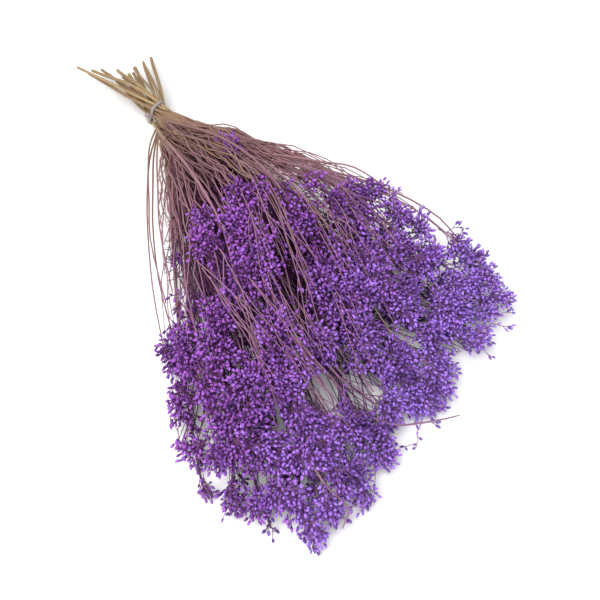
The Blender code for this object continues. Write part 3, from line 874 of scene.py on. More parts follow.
class Growth:
    """One stem's lines and buds, and the places on it where a new line may fork."""

    def __init__(self, stem):
        self.stem = stem
        self.lines = []
        self.buds = []
        self.fork_points = []
        self.fork_ways = []
        self.fork_radii = []

    def add(self, points, radii, dye, tint, grade, forks=False):
        """Keeps a line, lifted off the surface where it would sink in."""
        points = np.clip(points, LOW_CORNER, HIGH_CORNER)
        points[:, 2] = np.maximum(points[:, 2], radii)
        self.lines.append(Line(points, radii, dye, tint, grade))
        if forks:
            self.fork_points.append(points[1:-1])
            self.fork_ways.append(ways_along(points)[1:-1])
            self.fork_radii.append(radii[1:-1])
        return points

    def fork_for(self, target, rng):
        """A point of one of the lines from which a fork reaches the target at a narrow angle."""
        points = np.concatenate(self.fork_points)
        ways = np.concatenate(self.fork_ways)
        radii = np.concatenate(self.fork_radii)
        away = target - points
        length = np.linalg.norm(away, axis=1)
        turn = (away * ways).sum(1) / length
        cost = length * (1 + FORK_TURN_COST * (1 - turn)) * (1 + 0.5 * np.array([rng.random()]))
        cost[(length < FORK_LENGTHS[0]) | (length > FORK_LENGTHS[1]) | (turn < FORK_LEAST_TURN)] = math.inf
        k = int(cost.argmin())
        if math.isinf(cost[k]):
            return None
        return points[k], ways[k], radii[k]


def sprig(start, heading, toward, length, steps):
    """A short twig that sets out one way and bends a little towards another."""
    t = np.linspace(0, 1, steps + 1)[:, None]
    return start + length * (t * heading + TWIG_BEND * t**2 * (toward - heading))


def add_bud(growth, root, heading, length, tint, room, rng):
    """A bud on a stalk of its own, where there is room for it."""
    size = rng.uniform(*BUD_RADII)
    base = root + heading * length
    middle = base + heading * size
    tip = base + heading * size * 2 * BUD_HEIGHT
    if min(base[2], tip[2]) < size or (tip < LOW_CORNER).any() or (tip > HIGH_CORNER).any():
        return False
    if in_gap(middle) or not room.take(middle):
        return False
    if length > 0:
        points = np.array((root, base + heading * BUD_SUNK))
        growth.add(points, tapered(PEDICEL_RADII, 2), TWIG_DYE, tint, 2)
    tint += rng.uniform(-BUD_TINT_STRAY, BUD_TINT_STRAY)
    growth.buds.append(Bud(base, heading, size, min(1.0, max(0.0, tint))))
    return True


def grow_sprig(growth, start, heading, toward, length, tint, room, rng):
    """A twig with a bud at its end and two on stalks along it."""
    points = sprig(start, heading, toward, length, 2)
    placed = False
    end_way = unit(points[-1] - points[-2])
    for share, lean in SPRIG_BUDS:
        root = points[0] + (points[-1] - points[0]) * share
        way = leant(end_way, lean * rng.uniform(*LEAN_SHARES), rng.uniform(0, 360))
        stalk = 0.0 if rng.random() < NO_PEDICEL else rng.uniform(*PEDICEL_LENGTHS)
        placed |= add_bud(growth, root, way, stalk, tint, room, rng)
    if placed:
        growth.add(points, tapered(TWIG_RADII, 3), TWIG_DYE, tint, 2)
    return placed


def grow_tuft(growth, line, size, room, rng):
    """The twigs, sprigs and buds round the last stretch of a line."""
    tint = rng.uniform(*TUFT_TINTS)
    turn = rng.uniform(0, 360)
    twigs = round(TWIGS_A_TUFT[0] + TWIGS_A_TUFT[1] * size)
    for number in range(twigs):
        share = (number + rng.uniform(*TWIG_PLACES)) / twigs
        root, way = at_from_end(line, share * TUFT_STRETCH * size)
        heading = leant(way, rng.uniform(*TWIG_LEANS), turn + number * GOLDEN_ANGLE)
        length = size * rng.uniform(*TWIG_LENGTHS) * (1 + 0.5 * share)
        points = sprig(root, heading, way, length, 3)
        ways = ways_along(points)
        placed = False
        for place in range(SPRIGS_A_TWIG):
            at = SPRIG_START + SPRIG_SPAN * (place + rng.uniform(*MIDDLE_SHARES)) / SPRIGS_A_TWIG
            k = min(2, int(at * 3))
            start = points[k] + (points[k + 1] - points[k]) * (at * 3 - k)
            out = leant(ways[k], rng.uniform(*SPRIG_LEANS), turn + (number + place) * GOLDEN_ANGLE)
            reach = rng.uniform(*SPRIG_LENGTHS)
            placed |= grow_sprig(growth, start, out, ways[k], reach, tint, room, rng)
        placed |= add_bud(growth, points[-1], ways[-1], 0.0, tint, room, rng)
        if placed:
            growth.add(points, tapered(FORK_RADII, 4) * TWIG_THINNING, TWIG_DYE, tint, 2)
    _, way = at_from_end(line, 0.0)
    add_bud(growth, line[-1], way, 0.0, tint, room, rng)


def grow_stray_buds(growth, line, room, rng):
    """A few single buds at the end of a line."""
    tint = rng.uniform(*STRAY_BUD_TINTS)
    for number in range(rng.randint(*STRAY_BUDS)):
        root, way = at_from_end(line, number * STRAY_STEP)
        heading = leant(way, rng.uniform(*STRAY_BUD_LEANS) if number else 0.0, rng.uniform(0, 360))
        add_bud(growth, root, heading, rng.uniform(*PEDICEL_LENGTHS) if number else 0.0, tint, room, rng)


def grow_strays(growth, line, count, room, rng):
    """Small sprigs along a line, before its tuft."""
    length = np.linalg.norm(np.diff(line, axis=0), axis=1).sum()
    for _ in range(count):
        back = min(rng.uniform(*STRAY_PLACES), STRAY_BACK_SHARE * length)
        root, way = at_from_end(line, back)
        tint = rng.uniform(*STRAY_TINTS)
        heading = leant(way, rng.uniform(*STRAY_LEANS), rng.uniform(0, 360))
        reach = rng.uniform(*STRAY_LENGTHS)
        points = sprig(root, heading, way, reach, 3)
        end = points[-1]
        end_way = unit(points[-1] - points[-2])
        placed = grow_sprig(growth, end, end_way, way, STRAY_END_SHARE * reach, tint, room, rng)
        side = leant(end_way, STRAY_SIDE_LEAN, rng.uniform(0, 360))
        placed |= grow_sprig(growth, points[2], side, way, STRAY_SIDE_SHARE * reach, tint, room, rng)
        if placed:
            growth.add(points, tapered(TWIG_RADII, 4) * STRAY_THICKENING, TWIG_DYE, tint, 2)


def camera_axes():
    """The camera's place, and the ways to its right, up and back."""
    ahead, aside = ahead_and_aside(CAMERA_TURN)
    level, high = ahead_and_aside(CAMERA_HEIGHT)
    back = np.array((aside * level, -ahead * level, high))
    right = np.array((ahead, aside, 0.0))
    return NECK + CAMERA_FROM_NECK, right, np.cross(back, right), back


def on_head(fan, out, depth):
    """The place this deep under the top of the head, or just over the surface that the bunch lies on."""
    return place_in_head(fan, out, max(LOWEST_TUFT, head_top(fan, out) - depth))


def clump_places(clump, rng):
    """Places spread evenly over a clump, which stands up like a low dome."""
    places = []
    turn = rng.uniform(0, 360)
    drop = min(CLUMP_DROP, CLUMP_DOME * clump.along)
    for k in range(clump.tufts):
        from_middle = math.sqrt((k + 0.5) / clump.tufts)
        ahead, aside = ahead_and_aside(turn + k * GOLDEN_ANGLE, from_middle)
        out = clump.out + max(LEAST_CLUMP, clump.along - CLUMP_EDGE) * ahead
        fan = clump.fan + math.degrees(max(LEAST_CLUMP, clump.aside - CLUMP_EDGE) * aside / clump.out)
        depth = rng.uniform(*CLUMP_DEPTHS) + drop * from_middle**2
        places.append(on_head(fan, out, depth))
    return places


def is_hidden(point):
    """True where the head hides a place from the camera."""
    eye = camera_axes()[0]
    return depth_of(point + HIDDEN_BEHIND * unit(eye - point)) > 0


def find_hidden_tufts(taken, rng):
    """Places for the tufts that the photograph doesn't show."""
    places = list(taken)
    tufts = []
    for shell in SHELLS:
        for _ in range(shell.draws):
            fan = rng.uniform(*HEAD_FAN)
            out = math.sqrt(rng.uniform(shell.start**2, reach_at(fan) ** 2))
            point = place_in_head(fan, out, rng.uniform(LOWEST_TUFT, CEILING_TOP))
            if not shell.depths[0] < depth_of(point) < shell.depths[1] or in_gap(point, GAP_TUFT_ROOM):
                continue
            if not is_hidden(point) or in_channel(point) or (fan < LEFT_FAN and out < LEFT_START):
                continue
            if np.linalg.norm(np.array(places) - point, axis=1).min() > shell.spacing:
                places.append(point)
                tufts.append((point, shell.size * rng.uniform(*SHELL_SIZES)))
    return tufts


def nearest_growth(growths, point):
    """The growth whose main stem passes nearest to a point, with the tips left out of it."""
    best = None
    for growth in growths:
        share = min(1.0, max(LEAST_SPAN_SHARE, (point[0] - NECK[0]) / growth.stem.span))
        away = math.dist(growth.stem.front(share), point)
        if best is None or away < best[0]:
            best = (away, growth)
    return best[1]


def over_head(growth, target, rng):
    """A line from the neck that runs over the top of the head and then goes down to a place."""
    root = growth.stem.front(rng.uniform(*NECK_ROOTS))
    t = np.linspace(0, 1, LONG_STEPS + 1)
    points = root + (target - root) * t[:, None]
    proud = rng.uniform(*OVER_PROUD)
    for point, share in zip(points[1:-1], t[1:-1]):
        fan, out = fan_and_out(point)
        top = head_top(fan, out) + proud + RIGHT_LIFT * max(0.0, fan - RIGHT_FAN)
        rise = min(1.0, share / OVER_RISE)
        sink = max(0.0, share - OVER_SINK) / (1 - OVER_SINK)
        point[2] = root[2] + (top - root[2]) * rise
        point[2] += (target[2] - point[2]) * sink**2
    points = beside_gap(wiggled(smoothed(points), LINE_WIGGLE, rng))
    dye = STRAW_DYE if rng.random() < STRAW_SHARE else 1.0
    return growth.add(points, tapered(LINE_RADII, len(t), LINE_TAPER), dye, rng.random(), 1, True)


def reach_for(growth, target, heading, neck_share, rng, grade=1):
    """A line to a place for a tuft, from the neck or from a fork of one of the stem's own lines."""
    from_neck = rng.random() < neck_share
    if from_neck and rng.random() < OVER_SHARE:
        return over_head(growth, target, rng)
    fork = None if from_neck else growth.fork_for(target, rng)
    if fork is None:
        share = rng.uniform(*NECK_ROOTS)
        root, ahead = growth.stem.front(np.array((share, share + NECK_STEP)))
        way = unit(ahead - root)
        radii = LINE_RADII
        steps = LONG_STEPS
    else:
        root, way, radius = fork
        radii = (min(radius, FORK_RADII[0]), FORK_RADII[1])
        steps = FORK_STEPS
    rise = LINE_RISE * min(1.0, target[2] / RISE_HEIGHT)
    points = bowed(root, way, target, unit(heading + rise * UP), steps)
    if rng.random() < ARCHED_SHARE:
        rise = rng.uniform(*ARCH_HEIGHTS)
        points[:, 2] += rise * np.sin(math.pi * np.linspace(0, 1, steps + 1)) ** 2
    points = wiggled(points, LINE_WIGGLE, rng)
    if rng.random() > GAP_CROSSERS:
        points = beside_gap(points)
    dye = STRAW_DYE if rng.random() < STRAW_SHARE else rng.uniform(1.0, INSIDE_DYE)
    return growth.add(points, tapered(radii, steps + 1, LINE_TAPER), dye, rng.random(), grade, True)


def grow_clump(growths, clump, room, rng):
    """The tufts of a clump, each on a line of its own."""
    growth = nearest_growth(growths, on_head(clump.fan, clump.out, 0.0))
    for number, point in enumerate(clump_places(clump, rng)):
        heading = heading_at(point, rng)
        neck_share = 1.0 if number % TUFTS_A_LINE == 0 else 0.0
        line = reach_for(growth, point - TUFT_AHEAD * heading, heading, neck_share, rng)
        grow_tuft(growth, line, rng.uniform(*TUFT_SIZES), room, rng)
        if rng.random() < STRAY_TWIGS:
            grow_strays(growth, line, 1, room, rng)


def along_head(fan, out, turn, length, proud, steps):
    """A line over the top of the head that sets out from a place, turned a little from the way outward."""
    ahead, aside = ahead_and_aside(turn)
    points = []
    for share in np.linspace(0, 1, steps + 1):
        far = out + length * share * ahead
        off = fan + math.degrees(length * share * aside / far)
        rise = proud * math.sin(math.pi * (VEIL_FOOT + (1 - VEIL_FOOT) * share))
        points.append(on_head(off, min(far, reach_at(off)), -rise))
    return smoothed(np.array(points))


def grow_veil(growths, room, rng):
    """The thin strands that lie on the clumps, with forks that end in a few buds."""
    for veil in VEILS:
        for _ in range(veil.strands):
            fan = rng.uniform(*veil.fans)
            out = rng.uniform(*veil.starts)
            turn = rng.uniform(*veil.turns)
            length = rng.uniform(*veil.lengths)
            line = along_head(fan, out, turn, length, rng.uniform(*VEIL_PROUD), VEIL_STEPS)
            growth = nearest_growth(growths, line[0])
            tint = VEIL_TINT * rng.random()
            points = wiggled(line, LINE_WIGGLE / 2, rng)
            line = growth.add(points, tapered(VEIL_RADII, len(line)), 1.0, tint, 1)
            for number in range(rng.randint(*VEIL_FORKS)):
                at = rng.randint(2, VEIL_STEPS - 2)
                way = unit(line[at + 1] - line[at])
                lean = rng.uniform(*VEIL_LEANS)
                stray = rng.uniform(-VEIL_FORK_STRAY, VEIL_FORK_STRAY)
                side = leant(way, lean, 180.0 * number + stray)
                reach = length * VEIL_FORK_SHARE * rng.uniform(*VEIL_FORK_LENGTHS)
                fork = bowed(line[at], side, line[at] + reach * unit(way + side), way, VEIL_FORK_STEPS)
                radii = tapered(VEIL_RADII, VEIL_FORK_STEPS + 1) * TWIG_THINNING
                grow_stray_buds(growth, growth.add(fork, radii, 1.0, tint, 2), room, rng)
            grow_stray_buds(growth, line, room, rng)


def grow_loose_strands(growths, rng):
    """The strands that stray from the bunch, and those that cross its gap."""
    for spots in LOOSE_STRANDS:
        knots = np.array([place_in_head(*spot) for spot in spots])
        points = through(knots, LONG_STEPS)
        growth = nearest_growth(growths, points[len(points) // 2])
        growth.add(points, tapered(LOOSE_RADII, len(points)), LOOSE_DYE, rng.random(), 1)
    for k in range(GAP_STRANDS):
        share = (k + rng.uniform(*MIDDLE_SHARES)) / GAP_STRANDS
        ends = []
        for first, last, out in (GAP_STRAND_FROM, GAP_STRAND_TO):
            fan = first + (last - first) * share
            far = out + rng.uniform(-GAP_STRAND_STRAY, GAP_STRAND_STRAY)
            ends.append(on_head(fan, far, rng.uniform(*GAP_STRAND_DEPTHS)))
        start, end = ends
        way = unit(start - NECK)
        points = wiggled(bowed(start, way, end, unit(end - start), FORK_STEPS), LINE_WIGGLE / 2, rng)
        growth = nearest_growth(growths, start)
        growth.add(points, tapered(FORK_RADII, len(points)), 1.0, rng.random(), 1)


def grow_filler(growths, rng):
    """The bare strands that fill the neck, and the thin ones low inside the head."""
    for number in range(FILLER_LINES + RIGHT_FILLERS):
        fans = FILLER_FANS if number < FILLER_LINES else (RIGHT_FAN, FILLER_FANS[1])
        fan = rng.uniform(*fans)
        out = rng.uniform(*FILLER_OUTS) + FILLER_SIDE_OUT * (fan / FILLER_FANS[1]) ** 2
        point = on_head(fan, out, rng.uniform(*FILLER_DEPTHS))
        growth = nearest_growth(growths, point)
        if fan > RIGHT_FAN:
            over_head(growth, point, rng)
        else:
            reach_for(growth, point, heading_at(point, rng), 1.0, rng)
    for _ in range(INNER_LINES):
        fan = rng.uniform(*HEAD_FAN) * INNER_FAN_SHARE
        out = min(rng.uniform(*INNER_OUTS), reach_at(fan) - INNER_ROOM)
        point = on_head(fan, out, rng.uniform(*INNER_DEPTHS))
        reach_for(nearest_growth(growths, point), point, heading_at(point, rng), 1.0, rng, 2)


def through(knots, steps):
    """A smooth curve through points."""
    slopes = np.gradient(knots, axis=0)
    at = np.linspace(0, len(knots) - 1, steps + 1)
    first = np.minimum(at.astype(int), len(knots) - 2)
    t = (at - first)[:, None]
    return hermite(knots[first], slopes[first], knots[first + 1], slopes[first + 1], 1.0, t)


@functools.cache
def grown():
    """Every stem's lines and buds."""
    stems = make_stems()
    growths = [Growth(stem) for stem in stems]
    rng = random.Random(SEED + 1)
    room = Room(BUD_SPACE)
    ends = []
    for growth, strands in zip(growths, make_strands(stems).values()):
        points, radii = growth.stem.route(*MAIN_STEPS)
        main = growth.add(points, radii, 1.0, rng.random(), 0, True)
        ends.append((growth, main))
        for strand in strands:
            points = wiggled(strand.points, LINE_WIGGLE, rng)
            radii = strand.radii * tapered(BRANCH_THINNING, len(points))
            line = growth.add(points, radii, 1.0, rng.random(), 1, True)
            ends.append((growth, line))
    for clump in CLUMPS:
        grow_clump(growths, clump, room, rng)
    for fan, out in STRAY_BUDS_AT:
        point = on_head(fan, out, 0.0)
        growth = nearest_growth(growths, point)
        grow_stray_buds(growth, reach_for(growth, point, heading_at(point, rng), 0.0, rng), room, rng)
    grow_filler(growths, rng)
    grow_loose_strands(growths, rng)
    grow_veil(growths, room, rng)
    for growth, line in ends:
        if fan_and_out(line[-1])[1] > LEAST_TUFT_OUT and not in_channel(line[-1]):
            grow_tuft(growth, line, END_TUFT_SIZE, room, rng)
    for point, size in find_hidden_tufts([line[-1] for _, line in ends], rng):
        growth = nearest_growth(growths, point)
        line = reach_for(growth, point, heading_at(point, rng), NECK_LINE_SHARE, rng)
        grow_tuft(growth, line, size, room, rng)
    return growths


# Node trees

class Value:
    """A node's output that can stand in a sum."""

    def __init__(self, nodes, socket):
        self.nodes = nodes
        self.socket = socket

    def out(self, name):
        """Another output of the same node."""
        return Value(self.nodes, live(self.socket.node.outputs, name))

    def math(self, operation, *others, clamp=False):
        values = dict(enumerate((self, *others)))
        return self.nodes.add("Math", values, operation=operation, use_clamp=clamp)

    def __add__(self, other):
        return self.math("ADD", other)

    def __radd__(self, other):
        return self.math("ADD", other)

    def __sub__(self, other):
        return self.math("SUBTRACT", other)

    def __rsub__(self, other):
        return self.nodes.add("Math", {0: other, 1: self}, operation="SUBTRACT")

    def __mul__(self, other):
        return self.math("MULTIPLY", other)

    def __rmul__(self, other):
        return self.math("MULTIPLY", other)


def live(sockets, key):
    """The socket of this name, or at this place, among those that the node's settings leave in use."""
    used = [socket for socket in sockets if socket.enabled]
    if isinstance(key, int):
        return used[key]
    for socket in used:
        if socket.name == key:
            return socket
    raise KeyError(f"no socket {key} on {sockets[0].node.bl_idname}")


class Nodes:
    """A node tree, and the one method that adds any node to it."""

    def __init__(self, tree):
        self.tree = tree
        kind = tree.bl_idname.removesuffix("NodeTree").removesuffix("Tree")
        self.prefixes = (kind, "ShaderNode", "GeometryNode", "FunctionNode")

    def add(self, kind, values=None, **settings):
        """Adds a node, sets it up, fills its sockets with values or links, and gives its first output."""
        node = self.tree.nodes.new(self.full_name(kind))
        for name, setting in settings.items():
            setattr(node, name, setting)
        for key, value in (values or {}).items():
            self.fill(live(node.inputs, key), value)
        outputs = [socket for socket in node.outputs if socket.enabled]
        return Value(self, outputs[0]) if outputs else node

    def full_name(self, kind):
        for prefix in self.prefixes:
            if hasattr(bpy.types, prefix + kind):
                return prefix + kind
        return kind

    def fill(self, socket, value):
        if isinstance(value, Value):
            self.tree.links.new(value.socket, socket)
        elif isinstance(value, (list, tuple)) and value and isinstance(value[0], Value):
            for one in reversed(value):
                self.tree.links.new(one.socket, socket)
        else:
            socket.default_value = value

    def named(self, name, data_type="FLOAT"):
        """An attribute of the geometry, in a geometry tree."""
        return self.add("InputNamedAttribute", {"Name": name}, data_type=data_type)

    def keep(self, geometry, name, value, data_type="FLOAT"):
        """Stores an attribute on the points of the geometry."""
        inputs = {"Geometry": geometry, "Name": name, "Value": value}
        return self.add("StoreNamedAttribute", inputs, data_type=data_type, domain="POINT")

    def mix(self, factor, a, b):
        """A colour between two, each of them a value or three plain numbers."""
        a, b = (one if isinstance(one, Value) else (*one, 1.0) for one in (a, b))
        return self.add("Mix", {"Factor": factor, "A": a, "B": b}, data_type="RGBA")

    def attribute(self, name, output="Fac"):
        """An attribute of the surface, in a shader tree."""
        return self.add("Attribute", attribute_name=name).out(output)


def new_tree(name, sockets):
    """A geometry tree with these named inputs, and its first node's outputs as values."""
    tree = bpy.data.node_groups.new(name, "GeometryNodeTree")
    tree.interface.new_socket("Geometry", in_out="INPUT", socket_type="NodeSocketGeometry")
    for socket_name, kind, default in sockets:
        socket = tree.interface.new_socket(socket_name, in_out="INPUT", socket_type=f"NodeSocket{kind}")
        if default is not None:
            socket.default_value = default
    tree.interface.new_socket("Geometry", in_out="OUTPUT", socket_type="NodeSocketGeometry")
    nodes = Nodes(tree)
    return nodes, nodes.add("NodeGroupInput")


def end_tree(nodes, geometry, material):
    """Makes every instance real, gives it its material and ends the tree."""
    real = nodes.add("RealizeInstances", {"Geometry": geometry})
    dressed = nodes.add("SetMaterial", {"Geometry": real, "Material": material})
    nodes.add("NodeGroupOutput", {"Geometry": dressed})
    return nodes.tree


def build_tube_tree():
    """Turns every line of a mesh into a closed tube, with more sides on the thick ones."""
    sockets = (
        ("Stem Sides", "Int", 8),
        ("Strand Sides", "Int", 5),
        ("Twig Sides", "Int", 3),
        ("Thickness", "Float", 1.0),
        ("Material", "Material", None),
    )
    nodes, given = new_tree("tubes", sockets)
    curves = nodes.add("MeshToCurve", {"Mesh": given})
    along = nodes.add("SplineParameter").out("Length")
    curves = nodes.keep(curves, "along", along)
    curves = nodes.keep(curves, "centre", nodes.add("InputPosition"), "FLOAT_VECTOR")
    curves = nodes.keep(curves, "aim", nodes.add("InputTangent"), "FLOAT_VECTOR")
    thickness = nodes.named("thick") * given.out("Thickness")
    tubes = []
    for grade, name in enumerate(("Stem Sides", "Strand Sides", "Twig Sides")):
        inputs = {0: nodes.named("grade"), 1: float(grade), 2: 0.5}
        chosen = nodes.add("Math", inputs, operation="COMPARE")
        inputs = {"Geometry": curves, "Selection": chosen}
        graded = nodes.add("SeparateGeometry", inputs, domain="CURVE")
        circle = nodes.add("CurvePrimitiveCircle", {"Resolution": given.out(name), "Radius": 1.0})
        circle = nodes.keep(circle, "ring", nodes.add("InputPosition"), "FLOAT_VECTOR")
        inputs = {"Curve": graded, "Profile Curve": circle, "Scale": thickness, "Fill Caps": True}
        tubes.append(nodes.add("CurveToMesh", inputs))
    joined = nodes.add("JoinGeometry", {"Geometry": tubes})
    position = nodes.add("InputPosition")
    centre = nodes.named("centre", "FLOAT_VECTOR")
    from_centre = nodes.add("VectorMath", {0: position, 1: centre}, operation="SUBTRACT")
    cut = nodes.named("cut", "FLOAT_VECTOR")
    slip = nodes.add("VectorMath", {0: from_centre, 1: cut}, operation="DOT_PRODUCT").out("Value")
    aim = nodes.named("aim", "FLOAT_VECTOR")
    offset = nodes.add("VectorMath", {0: aim, "Scale": slip}, operation="SCALE")
    slanted = nodes.add("SetPosition", {"Geometry": joined, "Offset": offset})
    corners = nodes.add("InputMeshFaceNeighbors")
    caps = nodes.add("Math", {0: corners, 1: 4.0, 2: 0.5}, operation="COMPARE")
    inputs = {"Geometry": slanted, "Selection": 1 - caps, "Shade Smooth": False}
    shaded = nodes.add("SetShadeSmooth", inputs)
    for name in ("centre", "aim", "cut", "grade", "thick"):
        shaded = nodes.add("RemoveAttribute", {"Geometry": shaded, "Name": name})
    return end_tree(nodes, shaded, given.out("Material"))


def bud_template(nodes, sides, rings, ridge, open_share):
    """A bud of unit radius that stands on the origin: pointed when closed, with parted tips when open."""
    ball = nodes.add("MeshUVSphere", {"Segments": sides, "Rings": rings, "Radius": 1.0})
    place = nodes.add("SeparateXYZ", {0: nodes.add("InputPosition")})
    x, y, z = place, place.out("Y"), place.out("Z")
    height = z * 0.5 + 0.5
    turn = y.math("ARCTAN2", x)
    fold = (turn * (sides / 2)).math("COSINE")
    belly = 1.0 - height * height * 0.5
    spread = belly * (1.0 + fold * ridge) * (1.0 + height * height * open_share)
    lift = height * 2.0 * BUD_HEIGHT + fold * height * height * open_share * 0.8
    sunk = (height - 0.93).math("MAXIMUM", 0.0) * (-14.0 * open_share)
    inputs = {"X": x * spread, "Y": y * spread, "Z": lift + sunk}
    shaped = nodes.add("SetPosition", {"Geometry": ball, "Position": nodes.add("CombineXYZ", inputs)})
    shaped = nodes.keep(shaped, "rise", height)
    shaped = nodes.add("SetShadeSmooth", {"Geometry": shaped, "Shade Smooth": True})
    return nodes.add("GeometryToInstance", {"Geometry": shaped})


def build_bud_tree():
    """Puts a bud on every point of a mesh, turned and sized by the point's attributes."""
    sockets = (
        ("Size", "Float", 1.0),
        ("Material", "Material", None),
    )
    nodes, given = new_tree("buds", sockets)
    templates = [
        bud_template(nodes, 5, 4, 0.08, 0.0),
        bud_template(nodes, 5, 4, 0.03, 0.0),
        bud_template(nodes, 6, 4, 0.12, 0.35),
    ]
    joined = nodes.add("JoinGeometry", {"Geometry": templates})
    roll = nodes.add("CombineXYZ", {"Z": nodes.named("roll")})
    rolled = nodes.add("EulerToRotation", {0: roll})
    inputs = {"Rotation": rolled, "Vector": nodes.named("aim", "FLOAT_VECTOR")}
    turned = nodes.add("AlignRotationToVector", inputs, axis="Z")
    inputs = {
        "Points": given,
        "Instance": joined,
        "Pick Instance": True,
        "Instance Index": nodes.named("kind", "INT"),
        "Rotation": turned,
        "Scale": nodes.named("size") * given.out("Size"),
    }
    placed = nodes.add("InstanceOnPoints", inputs)
    for name in ("aim", "roll", "kind", "size"):
        placed = nodes.add("RemoveAttribute", {"Geometry": placed, "Name": name})
    return end_tree(nodes, placed, given.out("Material"))


def run_tree(name, mesh, tree, values):
    """A plain mesh object, made by running a geometry tree on a mesh."""
    obj = bpy.data.objects.new(name, mesh)
    bpy.context.scene.collection.objects.link(obj)
    modifier = obj.modifiers.new("make", "NODES")
    modifier.node_group = tree
    for item in tree.interface.items_tree:
        if item.in_out == "INPUT" and item.name in values:
            modifier[item.identifier] = values[item.name]
    graph = bpy.context.evaluated_depsgraph_get()
    made = bpy.data.meshes.new_from_object(
        obj.evaluated_get(graph), preserve_all_data_layers=True, depsgraph=graph
    )
    obj.modifiers.clear()
    obj.data = made
    bpy.data.meshes.remove(mesh)
    made.name = name
    return obj


def store(mesh, name, kind, values):
    """Keeps values on a mesh's points, to be read by a tree or a material."""
    layer = mesh.attributes.new(name, kind, "POINT")
    key = "vector" if kind == "FLOAT_VECTOR" else "value"
    flat = np.asarray(values, np.int32 if kind == "INT" else np.float32).ravel()
    layer.data.foreach_set(key, flat)


def line_mesh(name, lines, cuts=()):
    """A mesh of bare lines, which the tube tree turns into tubes."""
    counts = [len(line.points) for line in lines]
    firsts = np.concatenate(((0,), np.cumsum(counts)[:-1]))
    edges = []
    for first, count in zip(firsts, counts):
        edges += [(first + k, first + k + 1) for k in range(count - 1)]
    mesh = bpy.data.meshes.new(name)
    points = np.concatenate([line.points for line in lines])
    mesh.from_pydata([tuple(map(float, point)) for point in points], edges, [])
    slants = np.zeros((len(points), 3))
    for number, slant in cuts:
        slants[firsts[number]] = slant
    store(mesh, "thick", "FLOAT", np.concatenate([line.radii for line in lines]))
    store(mesh, "dye", "FLOAT", np.repeat([float(line.dye) for line in lines], counts))
    store(mesh, "tint", "FLOAT", np.repeat([line.tint for line in lines], counts))
    store(mesh, "grade", "FLOAT", np.repeat([float(line.grade) for line in lines], counts))
    store(mesh, "cut", "FLOAT_VECTOR", slants)
    # The painted shade share of each point, by its depth in the head
    store(mesh, "inside", "FLOAT", [painted_shade_share(point) for point in points])
    return mesh


def bud_mesh(name, buds, rng):
    """A mesh of bare points, on which the bud tree puts the buds."""
    mesh = bpy.data.meshes.new(name)
    mesh.from_pydata([tuple(map(float, bud.place)) for bud in buds], [], [])
    store(mesh, "aim", "FLOAT_VECTOR", [bud.aim for bud in buds])
    store(mesh, "size", "FLOAT", [bud.size for bud in buds])
    store(mesh, "tint", "FLOAT", [bud.tint for bud in buds])
    # The painted shade share of each bud, by its depth in the head
    store(mesh, "inside", "FLOAT", [painted_shade_share(bud.place) for bud in buds])
    store(mesh, "roll", "FLOAT", [rng.uniform(0, 2 * math.pi) for _ in buds])
    store(mesh, "kind", "INT", [rng.choice(BUD_KINDS) for _ in buds])
    return mesh


# Materials

def new_material(name):
    material = bpy.data.materials.new(name)
    material.use_nodes = True
    nodes = Nodes(material.node_tree)
    shader = material.node_tree.nodes["Principled BSDF"]
    return material, nodes, shader


def dress(nodes, shader, colour, rough, height, strength):
    """Links a material's colour, its roughness and its fine relief to its shader."""
    bump = nodes.add("Bump", {"Strength": strength, "Distance": BUMP_DEPTH, "Height": height})
    for name, value in (("Base Color", colour), ("Roughness", rough), ("Normal", bump)):
        nodes.fill(shader.inputs[name], value)


def smooth_step(value, low, high):
    return value.nodes.add(
        "MapRange",
        {"Value": value, "From Min": low, "From Max": high},
        interpolation_type="SMOOTHSTEP",
    )


def out_from_neck(nodes):
    """A place, and how far it lies from the neck along the bunch and across it."""
    place = nodes.add("TexCoord").out("Object")
    moved = nodes.add("VectorMath", {0: place, 1: tuple(-NECK)}, operation="ADD")
    split = nodes.add("SeparateXYZ", {0: moved})
    return place, split, split.out("Y")


